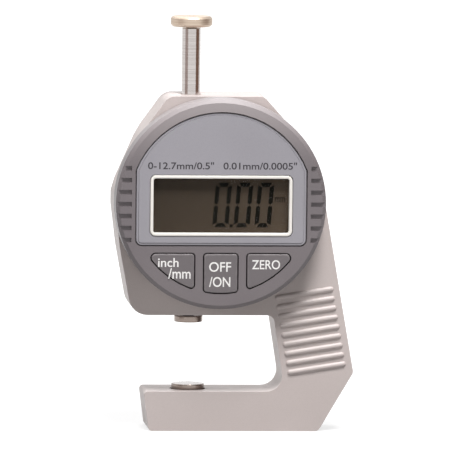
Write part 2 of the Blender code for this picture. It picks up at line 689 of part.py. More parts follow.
def make_guides(parts, brass, steel):
    bore = SPINDLE_RADIUS + BORE_GAP
    top = HEAD_TOP_Z - BUSH_LIP - SEAT_GAP
    upper = tube(bore + BUSH_WALL, bore, top, top - UPPER_BUSH_LENGTH)
    turned("upper_guide_bush", upper, (0, 0, 0), parts, brass, ROUND_STEPS)
    bottom = HEAD_UNDERSIDE_Z + BUSH_LIP + SEAT_GAP
    lower = tube(bore + BUSH_WALL, bore, bottom + LOWER_BUSH_LENGTH, bottom)
    turned("lower_guide_bush", lower, (0, 0, 0), parts, brass, ROUND_STEPS)
    pin = rod(PIN_RADIUS, HEAD_TOP_Z - PIN_TOP_WALL - SEAT_GAP, HEAD_UNDERSIDE_Z + SEAT_GAP)
    turned("guide_pin", pin, (PIN_OFFSET, 0, 0), parts, steel)


def make_carrier(parts, cutters, plastic, steel, laminate):
    """Block clamped on the spindle, whose fork rides the guide pin and whose face holds the scale."""
    low_z = CARRIER_Z - CARRIER_HEIGHT / 2
    high_z = CARRIER_Z + CARRIER_HEIGHT / 2
    low = (CARRIER_LEFT_X, -CARRIER_DEPTH / 2, low_z)
    high = (FORK_END_X, CARRIER_DEPTH / 2, high_z)
    carrier = box("scale_carrier", low, high, parts, plastic)
    bore = rod(SPINDLE_RADIUS + BORE_GAP, high_z + OVERRUN, low_z - OVERRUN)
    cut(carrier, turned("carrier_bore", bore, (0, 0, 0), cutters, steps=ROUND_STEPS))
    reach = PIN_RADIUS + BORE_GAP
    low = (PIN_OFFSET - reach, -reach, low_z - OVERRUN)
    high = (FORK_END_X + OVERRUN, reach, high_z + OVERRUN)
    cut(carrier, box("fork_slot", low, high, cutters))
    clamp_z = low_z + CLAMP_HEIGHT
    hole = rod(CLAMP_RADIUS + BORE_GAP, OVERRUN + CARRIER_WALL, -OVERRUN)
    place = (CARRIER_LEFT_X, 0, clamp_z)
    tool = turned("clamp_hole", hole, place, cutters)
    tool.rotation_euler.y = math.pi / 2
    cut(carrier, tool)
    face = CARRIER_LEFT_X - SEAT_GAP
    reach_in = -SPINDLE_RADIUS - SEAT_GAP - face
    clamp = (
        (0, reach_in),
        (CLAMP_RADIUS, reach_in),
        (CLAMP_RADIUS, 0),
        (CLAMP_HEAD_RADIUS, 0),
        (CLAMP_HEAD_RADIUS, -CLAMP_HEAD_HEIGHT),
        (0, -CLAMP_HEAD_HEIGHT),
    )
    screw = turned("carrier_clamp_screw", clamp, (face, 0, clamp_z), parts, steel)
    screw.rotation_euler.y = math.pi / 2
    low = (-STRIP_WIDTH / 2, STRIP_FRONT_Y, CARRIER_Z - STRIP_LENGTH / 2)
    high = (STRIP_WIDTH / 2, STRIP_BACK_Y, CARRIER_Z + STRIP_LENGTH / 2)
    box("scale_strip", low, high, parts, laminate)


def pocket_floor_z(x):
    """Height of the pocket's round floor at a place across the head."""
    return DIAL_Z - math.sqrt(POCKET_RADIUS**2 - (x - DIAL_X) ** 2)


def leaf_bottom_z():
    return pocket_floor_z(-LEAF_WIDTH / 2) + SEAT_GAP


def leaf_screw_z():
    return leaf_bottom_z() + LEAF_FOOT / 2


def make_brake(parts, cutters, spring_steel, steel):
    """Leaf spring on the pocket's floor, whose tongue presses the spindle from behind."""
    foot_y = POCKET_FLOOR_Y - SEAT_GAP - LEAF_THICKNESS / 2
    touch_y = SPINDLE_RADIUS + SEAT_GAP + LEAF_THICKNESS * LEAF_TOUCH_SHARE
    bottom = leaf_bottom_z()
    bend = bottom + LEAF_FOOT
    path = (
        (foot_y, bottom),
        (foot_y, bend),
        (touch_y, bend + LEAF_TONGUE - LEAF_TAIL),
        (touch_y + LEAF_THICKNESS / 2, bend + LEAF_TONGUE),
    )
    shape = bmesh.new()
    verts = [shape.verts.new((-LEAF_WIDTH / 2, y, z)) for y, z in path]
    edges = [shape.edges.new(pair) for pair in zip(verts, verts[1:])]
    swept = bmesh.ops.extrude_edge_only(shape, edges=edges)
    moved = [item for item in swept["geom"] if isinstance(item, bmesh.types.BMVert)]
    bmesh.ops.translate(shape, vec=(LEAF_WIDTH, 0, 0), verts=moved)
    mesh = bpy.data.meshes.new("brake_leaf")
    shape.to_mesh(mesh)
    shape.free()
    leaf = finish(bpy.data.objects.new("brake_leaf", mesh), parts, spring_steel)
    solidify = leaf.modifiers.new("Thickness", "SOLIDIFY")
    solidify.thickness = LEAF_THICKNESS
    solidify.offset = 0
    front_y = foot_y - LEAF_THICKNESS / 2
    place = (0, 0, leaf_screw_z())
    hole = rod(LEAF_SCREW_RADIUS + BORE_GAP, front_y - OVERRUN, POCKET_FLOOR_Y + OVERRUN)
    cut(leaf, turned("leaf_bore", hole, place, cutters, along="Y"))
    head_y = front_y - SEAT_GAP
    screw = (
        (0, head_y - LEAF_HEAD_HEIGHT),
        (LEAF_HEAD_RADIUS, head_y - LEAF_HEAD_HEIGHT),
        (LEAF_HEAD_RADIUS, head_y),
        (LEAF_SCREW_RADIUS, head_y),
        (LEAF_SCREW_RADIUS, POCKET_FLOOR_Y + LEAF_SCREW_DEPTH),
        (0, POCKET_FLOOR_Y + LEAF_SCREW_DEPTH),
    )
    turned("brake_screw", screw, place, parts, steel, along="Y")


def plate_outline(gap):
    """Face plate's outline about the dial: an arc above, upright sides and a level foot."""
    orbit = BEZEL_RADIUS - PLATE_MARGIN + gap
    side = BEZEL_RADIUS - PLATE_SIDE_MARGIN + gap
    start = math.acos(side / orbit)
    crown = [(x, z, 0) for x, z in arc(orbit, start, math.pi - start)]
    foot = -PLATE_DROP - gap
    corner = PLATE_CORNER + gap
    return rounded([*crown, (-side, foot, corner), (side, foot, corner)])


def side_key_outline(gap, side):
    """Side key about the dial: level top, upright inner side and an arc along the rim. The tip and
    the foot are arcs that touch the rim's arc from inside."""
    corner = KEY_CORNER + gap
    tip_z = KEY_TOP - KEY_TIP_RADIUS
    tip_x = math.sqrt((KEY_ORBIT - KEY_TIP_RADIUS) ** 2 - tip_z**2)
    foot_x = SIDE_KEY_START + KEY_CORNER
    foot_z = -math.sqrt((KEY_ORBIT - KEY_CORNER) ** 2 - foot_x**2)
    tip_turn = math.atan2(tip_z, tip_x)
    foot_turn = math.atan2(foot_z, foot_x)
    top_x = SIDE_KEY_START + KEY_CORNER
    top_z = KEY_TOP - KEY_CORNER
    outline = arc(corner, math.pi, math.pi / 2, top_x, top_z)
    outline += arc(KEY_TIP_RADIUS + gap, math.pi / 2, tip_turn, tip_x, tip_z)
    outline += arc(KEY_ORBIT + gap, tip_turn, foot_turn)[1:-1]
    outline += arc(corner, foot_turn, -math.pi, foot_x, foot_z)
    return [(side * x, z) for x, z in outline]


def power_key_outline(gap, _side=1):
    orbit = KEY_ORBIT + gap
    top = KEY_TOP + gap
    half = POWER_KEY_WIDTH / 2 + gap
    lean = math.asin(half / orbit)
    rim = arc(orbit, lean - math.pi / 2, -lean - math.pi / 2)
    corner = KEY_CORNER + gap
    points = [(half, top, corner), (*rim[0], corner)]
    points += [(x, z, 0) for x, z in rim[1:-1]]
    points += [(*rim[-1], corner), (-half, top, corner)]
    return rounded(points)


KEYS = (
    ("units", side_key_outline, -1, -SIDE_KEY_X, SIDE_KEY_Z),
    ("power", power_key_outline, 1, 0, POWER_KEY_Z),
    ("zero", side_key_outline, 1, SIDE_KEY_X, SIDE_KEY_Z),
)


def make_housing(parts, cutters, grey):
    """Round dial housing: a cup open to the back, with lugs for the long screws and board posts."""
    inner = BEZEL_RADIUS - BEZEL_WALL
    back = FRONT_Y - SEAT_GAP
    profile = (
        (0, BEZEL_FRONT_Y),
        (BEZEL_RADIUS - BEZEL_CHAMFER, BEZEL_FRONT_Y),
        (BEZEL_RADIUS, BEZEL_FRONT_Y + BEZEL_CHAMFER),
        (BEZEL_RADIUS, back),
        (inner, back),
        (inner, BEZEL_INNER_Y),
        (0, BEZEL_INNER_Y),
    )
    centre = on_dial(0, 0)
    housing = turned("dial_housing", profile, centre, parts, grey, BEZEL_STEPS, "Y")
    spot = (DIAL_X, DIAL_Z)
    outer_y = BEZEL_FRONT_Y - OVERRUN
    plate_seat = [plate_outline(PLATE_GAP)]
    cut(housing, flat_piece("plate_seat", plate_seat, outer_y, PLATE_FLOOR_Y, spot, cutters))
    through_y = BEZEL_INNER_Y + OVERRUN
    opening = [
        rectangle(FLANGE_HALF_WIDTH + SEAT_GAP, FLANGE_HALF_HEIGHT + SEAT_GAP, WINDOW_CORNER)
    ]
    window_spot = (DIAL_X, DISPLAY_Z)
    cut(housing, flat_piece("display_opening", opening, outer_y, through_y, window_spot, cutters))
    for name, outline, side, _dx, _dz in KEYS:
        hole = [outline(KEY_GAP, side)]
        cut(housing, flat_piece(f"{name}_hole", hole, outer_y, through_y, spot, cutters))
    start = BEZEL_RADIUS - GRIP_MARGIN
    for index in range(GRIP_COUNT):
        level = (index - (GRIP_COUNT - 1) / 2) * GRIP_PITCH
        for side in (-1, 1):
            ends = sorted((side * start, side * (BEZEL_RADIUS + OVERRUN)))
            low = on_dial(ends[0], level - GRIP_HEIGHT / 2, outer_y)
            high = on_dial(ends[1], level + GRIP_HEIGHT / 2, BEZEL_FRONT_Y + GRIP_DEPTH)
            cut(housing, box(f"grip_{index + 1}_{'left' if side < 0 else 'right'}", low, high, cutters))
    web_front_y = LUG_FRONT_Y + SEAT_GAP
    lug = rod(LUG_RADIUS, LUG_FRONT_Y, POCKET_FLOOR_Y - SEAT_GAP)
    for index, (dx, dz) in enumerate(LUGS):
        join(housing, turned(f"lug_{index + 1}", lug, on_dial(dx, dz), cutters, along="Y"))
        angle = math.atan2(dz, dx)
        middle = (LUG_ORBIT + inner + BEZEL_WALL / 2) / 2
        half = (inner + BEZEL_WALL / 2 - LUG_ORBIT) / 2
        x = middle * math.cos(angle)
        z = middle * math.sin(angle)
        low = on_dial(x - half, z - LUG_WEB / 2, web_front_y)
        high = on_dial(x + half, z + LUG_WEB / 2, back - SEAT_GAP)
        join(housing, box(f"lug_web_{index + 1}", low, high, cutters, roll=-angle))
    post = rod(POST_RADIUS, BEZEL_INNER_Y - FACE_WALL * POST_ROOT_SHARE, BOARD_FRONT_Y - SEAT_GAP)
    for index, (dx, dz) in enumerate(POSTS):
        join(housing, turned(f"post_{index + 1}", post, on_dial(dx, dz), cutters, along="Y"))
    lug_bore = rod(
        BODY_SCREW_RADIUS + BORE_GAP,
        POCKET_FLOOR_Y - LUG_SCREW_DEPTH - SEAT_GAP,
        POCKET_FLOOR_Y + OVERRUN,
    )
    for index, (dx, dz) in enumerate(LUGS):
        cut(housing, turned(f"lug_bore_{index + 1}", lug_bore, on_dial(dx, dz), cutters, along="Y"))
    post_bore = rod(
        BOARD_SCREW_RADIUS + BORE_GAP,
        BOARD_BACK_Y - BOARD_SCREW_LENGTH - SEAT_GAP,
        BOARD_BACK_Y + OVERRUN,
    )
    for index, (dx, dz) in enumerate(POSTS):
        tool = turned(f"post_bore_{index + 1}", post_bore, on_dial(dx, dz), cutters, along="Y")
        cut(housing, tool, "MANIFOLD")


def make_face(parts, cutters, plate_grey, white, glass, crystal):
    """Face plate, and the display: white trim, clear pane and liquid-crystal panel."""
    spot = (DIAL_X, DISPLAY_Z)
    gap = SEAT_GAP
    opening = rectangle(TRIM_HALF_WIDTH + gap, TRIM_HALF_HEIGHT + gap, WINDOW_CORNER + TRIM_BAND)
    loops = [about(plate_outline(0), 0, -DISPLAY_DROP), opening]
    flat_piece("face_plate", loops, PLATE_FRONT_Y, PLATE_BACK_Y, spot, parts, plate_grey, PLATE_EDGE)
    window = rectangle(WINDOW_WIDTH / 2, WINDOW_HEIGHT / 2, WINDOW_CORNER)
    flange = rectangle(FLANGE_HALF_WIDTH, FLANGE_HALF_HEIGHT, WINDOW_CORNER + TRIM_BAND)
    trim = flat_piece("display_trim", [flange], FLANGE_FRONT_Y, TRIM_BACK_Y, spot, parts, white)
    band = rectangle(TRIM_HALF_WIDTH, TRIM_HALF_HEIGHT, WINDOW_CORNER + TRIM_BAND)
    collar_back = FLANGE_FRONT_Y + TRIM_LIP / 2
    join(trim, flat_piece("trim_collar", [band], TRIM_FRONT_Y, collar_back, spot, cutters))
    outer_y = TRIM_FRONT_Y - OVERRUN
    inner_y = TRIM_BACK_Y + OVERRUN
    cut(trim, flat_piece("trim_window", [window], outer_y, inner_y, spot, cutters))
    seat = rectangle(LCD_HALF_WIDTH + gap, LCD_HALF_HEIGHT + gap, WINDOW_CORNER)
    seat_y = FLANGE_FRONT_Y + TRIM_LIP
    cut(trim, flat_piece("panel_seat", [seat], seat_y, inner_y, spot, cutters))
    pane = rectangle(WINDOW_WIDTH / 2 - PANE_GAP, WINDOW_HEIGHT / 2 - PANE_GAP, WINDOW_CORNER)
    pane_y = TRIM_FRONT_Y + PANE_RECESS
    flat_piece("display_pane", [pane], pane_y, pane_y + PANE_THICKNESS, spot, parts, glass)
    panel = rectangle(LCD_HALF_WIDTH, LCD_HALF_HEIGHT, WINDOW_CORNER)
    flat_piece("lcd_panel", [panel], LCD_FRONT_Y, LCD_BACK_Y, spot, parts, crystal)


def make_keys(parts, cutters, grey, black):
    """Three push keys with their stems, and the switches that they press on the board."""
    collar_y = KEY_FLANGE_FRONT_Y + KEY_FLANGE / 2
    for name, outline, side, dx, dz in KEYS:
        spot = (DIAL_X + dx, DIAL_Z + dz)
        cap = [about(outline(0, side), dx, dz)]
        key = flat_piece(f"key_{name}", cap, KEY_FRONT_Y, collar_y, spot, parts, grey, KEY_EDGE)
        wide = [about(outline(KEY_LAP, side), dx, dz)]
        ends = (KEY_FLANGE_FRONT_Y, KEY_FLANGE_BACK_Y)
        join(key, flat_piece(f"{name}_flange", wide, *ends, spot, cutters))
        stem = rod(KEY_STEM_RADIUS, collar_y, KEY_STEM_END_Y)
        place = on_dial(dx, dz)
        join(key, turned(f"{name}_stem", stem, place, cutters, along="Y"))
        half = SWITCH_SIDE / 2
        low = on_dial(dx - half, dz - half, SWITCH_FRONT_Y)
        high = on_dial(dx + half, dz + half, SWITCH_BACK_Y)
        switch = box(f"switch_{name}", low, high, parts, black)
        plunger = rod(PLUNGER_RADIUS, PLUNGER_FRONT_Y, SWITCH_BACK_Y - SWITCH_HEIGHT / 2)
        join(switch, turned(f"{name}_plunger", plunger, place, cutters, along="Y"))


def make_board(parts, cutters, laminate, black, rubber, steel):
    """Circuit board on its three posts, with its controller and the display's rubber connectors."""
    spot = (DIAL_X, DIAL_Z)
    hole = BOARD_SCREW_RADIUS + BORE_GAP
    loops = [circle(POCKET_RADIUS - BOARD_EDGE_GAP, BEZEL_STEPS)]
    loops += [circle(hole, SMALL_STEPS, dx, dz) for dx, dz in POSTS]
    board = flat_piece("circuit_board", loops, BOARD_FRONT_Y, BOARD_BACK_Y, spot, parts, laminate)
    notch = rod(LUG_RADIUS + SEAT_GAP, BOARD_FRONT_Y - OVERRUN, BOARD_BACK_Y + OVERRUN)
    for index, (dx, dz) in enumerate(LUGS):
        cut(board, turned(f"notch_{index + 1}", notch, on_dial(dx, dz), cutters, along="Y"))
    back = BOARD_FRONT_Y - SEAT_GAP
    half = CHIP_SIDE / 2
    low = on_dial(-half, -half, back - CHIP_THICKNESS)
    box("controller_chip", low, on_dial(half, half, back), parts, black)
    level = LCD_HALF_HEIGHT - STRIP_CONNECTOR_HEIGHT / 2
    half = STRIP_CONNECTOR_WIDTH / 2
    for name, middle in (("upper", DISPLAY_Z + level), ("lower", DISPLAY_Z - level)):
        low = (DIAL_X - half, LCD_BACK_Y + SEAT_GAP, middle - STRIP_CONNECTOR_HEIGHT / 2)
        high = (DIAL_X + half, back, middle + STRIP_CONNECTOR_HEIGHT / 2)
        box(f"{name}_strip_connector", low, high, parts, rubber)
    head_y = BOARD_BACK_Y + SEAT_GAP
    profile = (
        (0, BOARD_BACK_Y - BOARD_SCREW_LENGTH),
        (BOARD_SCREW_RADIUS, BOARD_BACK_Y - BOARD_SCREW_LENGTH),
        (BOARD_SCREW_RADIUS, head_y),
        (BOARD_HEAD_RADIUS, head_y),
        (BOARD_HEAD_RADIUS, head_y + BOARD_HEAD_HEIGHT),
        (0, head_y + BOARD_HEAD_HEIGHT),
    )
    for index, (dx, dz) in enumerate(POSTS):
        turned(f"board_screw_{index + 1}", profile, on_dial(dx, dz), parts, steel, along="Y")


def make_housing_screws(parts, cutters, steel):
    head_back = BACK_Y - HEAD_RECESS
    head_front = head_back - BODY_HEAD_HEIGHT
    profile = (
        (0, POCKET_FLOOR_Y - LUG_SCREW_DEPTH),
        (BODY_SCREW_RADIUS, POCKET_FLOOR_Y - LUG_SCREW_DEPTH),
        (BODY_SCREW_RADIUS, head_front),
        (BODY_HEAD_RADIUS, head_front),
        (BODY_HEAD_RADIUS, head_back),
        (0, head_back),
    )
    reach = BODY_HEAD_RADIUS + OVERRUN
    for index, (dx, dz) in enumerate(LUGS):
        place = on_dial(dx, dz)
        screw = turned(f"housing_screw_{index + 1}", profile, place, parts, steel, along="Y")
        low = on_dial(dx - reach, dz - SLOT_WIDTH / 2, head_back - SLOT_DEPTH)
        high = on_dial(dx + reach, dz + SLOT_WIDTH / 2, head_back + OVERRUN)
        cut(screw, box(f"screw_slot_{index + 1}", low, high, cutters))


def make_battery(parts, cutters, steel, plastic, brass, cap_finish):
    """Button cell in its holder, the two contacts and the slotted cap that turns in the back."""
    place = (BATTERY_X, 0, BATTERY_Z)
    cell = (
        (0, CELL_FRONT_Y),
        (CELL_RADIUS - CELL_STEP, CELL_FRONT_Y),
        (CELL_RADIUS - CELL_STEP, CELL_FRONT_Y + CELL_STEP),
        (CELL_RADIUS, CELL_FRONT_Y + CELL_STEP),
        (CELL_RADIUS, CELL_BACK_Y),
        (0, CELL_BACK_Y),
    )
    turned("button_cell", cell, place, parts, steel, ROUND_STEPS, "Y")
    front = BOARD_BACK_Y + SEAT_GAP
    ring = tube(HOLDER_RADIUS, CELL_RADIUS + BORE_GAP, HOLDER_FRONT_Y, POCKET_FLOOR_Y - SEAT_GAP)
    holder = turned("battery_holder", ring, place, parts, plastic, ROUND_STEPS, "Y")
    half = CONTACT_WIDTH / 2 + SEAT_GAP
    low = (BATTERY_X - half, HOLDER_FRONT_Y - OVERRUN, BATTERY_Z - HOLDER_RADIUS - OVERRUN)
    high = (BATTERY_X + half, POCKET_FLOOR_Y + OVERRUN, BATTERY_Z)
    cut(holder, box("contact_notch", low, high, cutters))
    pad_back = CELL_FRONT_Y - SEAT_GAP
    pad_front = pad_back - CONTACT_THICKNESS
    spring = (
        (0, front),
        (CONTACT_FOOT_RADIUS, front),
        (CONTACT_FOOT_RADIUS, pad_front),
        (CONTACT_RADIUS, pad_front),
        (CONTACT_RADIUS, pad_back),
        (0, pad_back),
    )
    turned("negative_contact", spring, place, parts, brass, along="Y")
    top = BATTERY_Z - CELL_RADIUS - SEAT_GAP
    low = (BATTERY_X - CONTACT_WIDTH / 2, front, top - CONTACT_THICKNESS)
    high = (BATTERY_X + CONTACT_WIDTH / 2, POCKET_FLOOR_Y - 2 * SEAT_GAP, top)
    box("positive_contact", low, high, parts, brass)
    cap = (
        (0, CAP_FRONT_Y),
        (CAP_BORE_RADIUS, CAP_FRONT_Y),
        (CAP_BORE_RADIUS, CAP_SHOULDER_Y),
        (CAP_FLANGE_RADIUS, CAP_SHOULDER_Y),
        (CAP_FLANGE_RADIUS, CAP_BACK_Y),
        (0, CAP_BACK_Y),
    )
    cover = turned("battery_cap", cap, place, parts, cap_finish, ROUND_STEPS, "Y")
    half = CAP_SLOT_LENGTH / 2
    low = (BATTERY_X - half, CAP_BACK_Y - CAP_SLOT_DEPTH, BATTERY_Z - CAP_SLOT_WIDTH / 2)
    high = (BATTERY_X + half, CAP_BACK_Y + OVERRUN, BATTERY_Z + CAP_SLOT_WIDTH / 2)
    cut(cover, box("coin_slot", low, high, cutters))


def shade(parts):
    """Smooth shading on round faces and sharp shading across real edges."""
    for obj in parts.objects:
        obj.data.shade_smooth()
        obj.data.set_sharp_from_angle(angle=math.radians(30))


def main():
    clear_scene()
    parts = new_collection("thickness_gauge")
    cutters = new_collection("cutters")
    cutters.hide_render = True
    paint = material("body_grey", (0.55, 0.52, 0.50), 0.45)
    grey = material("housing_grey", (0.19, 0.19, 0.20), 0.45)
    plate_grey = material("plate_grey", (0.36, 0.36, 0.39), 0.4)
    key_grey = material("key_grey", (0.17, 0.16, 0.17), 0.5)
    white = material("trim_white", (0.85, 0.83, 0.80), 0.4)
    glass = material("pane", (0.80, 0.80, 0.78), 0.05)
    crystal = material("lcd", (0.07, 0.06, 0.045), 0.2)
    steel = material("polished_steel", (0.62, 0.61, 0.60), 0.15, 1.0)
    nickel = material("satin_nickel", (0.60, 0.56, 0.50), 0.3, 1.0)
    brass = material("brass", (0.70, 0.52, 0.25), 0.3, 1.0)
    laminate = material("board_green", (0.03, 0.18, 0.08), 0.5)
    black = material("black_plastic", (0.02, 0.02, 0.02), 0.5)
    rubber = material("connector_rubber", (0.10, 0.10, 0.10), 0.8)
    make_frame(parts, cutters, paint)
    make_anvil(parts, steel)
    make_spindle(parts, steel, nickel)
    make_guides(parts, brass, steel)
    make_carrier(parts, cutters, black, steel, laminate)
    make_brake(parts, cutters, steel, steel)
    make_housing(parts, cutters, grey)
    make_face(parts, cutters, plate_grey, white, glass, crystal)
    make_keys(parts, cutters, key_grey, black)
    make_board(parts, cutters, laminate, black, rubber, steel)
    make_housing_screws(parts, cutters, steel)
    make_battery(parts, cutters, steel, black, brass, paint)
    shade(parts)


main()
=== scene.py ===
"""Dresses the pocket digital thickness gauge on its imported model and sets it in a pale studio.

X runs right along the dial's face, Z up along the spindle, and the face looks towards -Y. Lengths are
in metres. New pieces are surfaces worked out on grids, the body and the housing are merged copies of
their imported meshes, and the inner pieces keep theirs."""

import logging
import math
from collections.abc import Callable, Sequence
from dataclasses import dataclass
from enum import Enum

import bmesh
import bpy
import numpy as np
from mathutils import Matrix, Vector


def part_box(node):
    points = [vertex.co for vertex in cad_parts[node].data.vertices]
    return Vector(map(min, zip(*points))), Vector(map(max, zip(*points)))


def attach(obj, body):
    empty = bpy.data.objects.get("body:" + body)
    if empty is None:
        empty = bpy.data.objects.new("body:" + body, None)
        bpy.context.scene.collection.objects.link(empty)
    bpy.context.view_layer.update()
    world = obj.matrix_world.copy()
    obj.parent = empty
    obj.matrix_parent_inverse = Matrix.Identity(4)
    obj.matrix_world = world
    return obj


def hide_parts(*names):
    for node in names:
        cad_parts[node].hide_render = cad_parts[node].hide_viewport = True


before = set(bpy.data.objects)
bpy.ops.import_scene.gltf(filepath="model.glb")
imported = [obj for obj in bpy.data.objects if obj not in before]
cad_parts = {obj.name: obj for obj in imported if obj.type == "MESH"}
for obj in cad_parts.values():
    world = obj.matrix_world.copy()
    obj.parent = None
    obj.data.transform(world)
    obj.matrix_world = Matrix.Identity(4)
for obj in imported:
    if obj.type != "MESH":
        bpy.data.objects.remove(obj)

LOG = logging.getLogger("thickness_gauge")
MM = 0.001
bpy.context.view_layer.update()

SHARP_DEGREES = 32.0
FLAT_DEGREES = 0.5
WELD_DISTANCE = 0.002 * MM
SEAT_GAP = 0.3 * MM
SIDE_SHARE = 0.45
LEVEL_COSINE = 0.9
LETTER_WEIGHT = 0.01
LETTER_STEPS = 6
LEGEND_RISE = 0.02 * MM
QUARTER = math.pi / 2

Colour = tuple[float, float, float, float]


class Axis(Enum):
    """The line that a turned piece is turned about."""

    UPRIGHT = "z"
    DEPTH = "y"


class Lay(Enum):
    """How the tool marks lie on a metal face."""

    ROUND_THE_AXIS = "rings"
    NONE = "none"


class Side(Enum):
    """Which side of the dial a mirrored piece is on."""

    LEFT = -1
    RIGHT = 1


# Arrays and meshes


def tone(red: float, green: float, blue: float) -> Colour:
    """Turns a display colour of 0 to 255 into the shader's linear colour.

    Args:
        red: Display value of red.
        green: Display value of green.
        blue: Display value of blue.

    Returns:
        The linear colour with full alpha. Each channel is the display share, less the small
        offset, raised to 2.4.
    """
    knee, slope, offset, power = 0.04045, 12.92, 0.055, 2.4
    share = np.array([red, green, blue]) / 255
    linear = np.where(share <= knee, share / slope, ((share + offset) / (1 + offset)) ** power)
    return (float(linear[0]), float(linear[1]), float(linear[2]), 1.0)


def arc(radius: float, start: float, end: float, x: float, z: float, steps: int) -> np.ndarray:
    """Points of an arc: the centre plus the radius times the cosine and sine of each angle.

    Args:
        radius: Radius of the arc.
        start: First angle in radians.
        end: Last angle in radians.
        x: Centre across.
        z: Centre up.
        steps: Number of chords.

    Returns:
        An array of steps + 1 points (x, z).
    """
    angle = np.linspace(start, end, steps + 1)
    return np.stack([x + radius * np.cos(angle), z + radius * np.sin(angle)], axis=1)


def rounded_rectangle(
    half_width: float, half_height: float, corner: float, steps: int = 8
) -> np.ndarray:
    """A rectangle whose corners are quarter arcs, run anticlockwise seen from the front.

    Args:
        half_width: Half of the width.
        half_height: Half of the height.
        corner: Radius of the corners.
        steps: Chords in each corner.

    Returns:
        The outline's points (x, z).
    """
    across = half_width - corner
    up = half_height - corner
    places = ((across, up), (-across, up), (-across, -up), (across, -up))
    return np.concatenate(
        [
            arc(corner, turn * QUARTER, (turn + 1) * QUARTER, x, z, steps)
            for turn, (x, z) in enumerate(places)
        ]
    )


def polar_loop(outline: np.ndarray, angles: np.ndarray) -> np.ndarray:
    """Where rays from the centre meet a closed outline that winds once round it.

    On the chord that a ray crosses, the distance is the cross product of the chord's start and
    its run, over the cross product of the ray's direction and that run.

    Args:
        outline: Points (x, z) of the outline.
        angles: Angles of the rays in radians.

    Returns:
        One point (x, z) for each angle.
    """
    turn = np.arctan2(outline[:, 1], outline[:, 0])
    order = np.argsort(turn)
    points = outline[order]
    turn = turn[order]
    span = 2 * math.pi
    wrapped = (angles - turn[0]) % span + turn[0]
    index = np.searchsorted(turn, wrapped, side="right") - 1
    first = points[index]
    run = points[(index + 1) % len(points)] - first
    ray = np.stack([np.cos(angles), np.sin(angles)], axis=1)
    reach = first[:, 0] * run[:, 1] - first[:, 1] * run[:, 0]
    reach = reach / (ray[:, 0] * run[:, 1] - ray[:, 1] * run[:, 0])
    return ray * reach[:, None]


def filleted(profile: Sequence[tuple[float, float]], radius: float, steps: int = 4) -> np.ndarray:
    """Rounds each inner corner of an open profile with a curve that leaves and meets its sides.

    Each corner becomes the quadratic curve through the points one radius back along both sides,
    with the corner as its middle weight.

    Args:
        profile: Points (radius, level) from the axis round to the axis again.
        radius: Length taken from each side at a corner, at most 45% of the side.
        steps: Chords for each corner.

    Returns:
        The rounded profile's points.
    """
    points = np.array(profile, float)
    share = np.linspace(0, 1, steps + 1)[:, None]
    rows = [points[:1]]
    for before, corner, after in zip(points[:-2], points[1:-1], points[2:]):
        back = before - corner
        ahead = after - corner
        reach_back = min(radius, SIDE_SHARE * np.linalg.norm(back))
        reach_ahead = min(radius, SIDE_SHARE * np.linalg.norm(ahead))
        start = corner + back / np.linalg.norm(back) * reach_back
        end = corner + ahead / np.linalg.norm(ahead) * reach_ahead
        rows.append((1 - share) ** 2 * start + 2 * share * (1 - share) * corner + share**2 * end)
    rows.append(points[-1:])
    return np.concatenate(rows)


@dataclass
class Shell:
    """Points and faces of a surface, with a value at each point that says how near an edge it is."""

    points: np.ndarray
    faces: list[np.ndarray]
    edge: np.ndarray

    def joined(self, other: "Shell") -> "Shell":
        """Returns this shell and another as one, the other's faces counted after this one's points.

        Args:
            other: The shell that is added.
        """
        shift = len(self.points)
        return Shell(
            np.concatenate([self.points, other.points]),
            self.faces + [rows + shift for rows in other.faces],
            np.concatenate([self.edge, other.edge]),
        )

    def as_object(self, name: str, sharp: float = SHARP_DEGREES) -> bpy.types.Object:
        """Puts the shell into a mesh object at the origin.

        Args:
            name: Name of the piece.
            sharp: Angle in degrees past which an edge is shaded sharp.

        Returns:
            The object, linked to the scene.
        """
        mesh = bpy.data.meshes.new(name)
        faces = [face for rows in self.faces for face in rows.tolist()]
        mesh.from_pydata(self.points.tolist(), [], faces)
        mesh.validate()
        values = mesh.attributes.new("edge", "FLOAT", "POINT")
        values.data.foreach_set("value", self.edge.astype(np.float32))
        mesh.shade_smooth()
        mesh.set_sharp_from_angle(angle=math.radians(sharp))
        obj = bpy.data.objects.new(name, mesh)
        bpy.context.scene.collection.objects.link(obj)
        return obj


def quads(rows: int, columns: int, wrap_rows: bool = False) -> np.ndarray:
    """Faces of a grid whose columns close round: each cell's corners by index arithmetic.

    Args:
        rows: Number of rings.
        columns: Points in each ring.
        wrap_rows: True where the last ring joins the first.

    Returns:
        An array of four indices for each face.
    """
    row = np.arange(rows if wrap_rows else rows - 1)
    column = np.arange(columns)
    here, there = np.meshgrid(row, column, indexing="ij")
    below = (here + 1) % rows
    beside = (there + 1) % columns
    return np.stack(
        [
            (here * columns + there).ravel(),
            (below * columns + there).ravel(),
            (below * columns + beside).ravel(),
            (here * columns + beside).ravel(),
        ],
        axis=1,
    )


def stacked(rings: np.ndarray, edge: np.ndarray | None = None) -> Shell:
    """A closed solid of rings run anticlockwise seen from its first end, with a fan on each end.

    Args:
        rings: Array (ring, point, 3).
        edge: Nearness to an edge for each ring, or None for none.

    Returns:
        The shell. The fans meet at the mean of the end rings.
    """
    count, columns, _ = rings.shape
    points = np.concatenate([rings.reshape(-1, 3), rings[0].mean(0)[None], rings[-1].mean(0)[None]])
    turn = np.arange(columns)
    ahead = (turn + 1) % columns
    top = np.full(columns, count * columns)
    last = (count - 1) * columns
    first_fan = np.stack([top, turn, ahead], axis=1)
    last_fan = np.stack([top + 1, last + ahead, last + turn], axis=1)
    near = np.zeros(count) if edge is None else edge
    value = np.concatenate([np.repeat(near, columns), [near[0], near[-1]]])
    return Shell(points, [quads(count, columns), first_fan, last_fan], value)


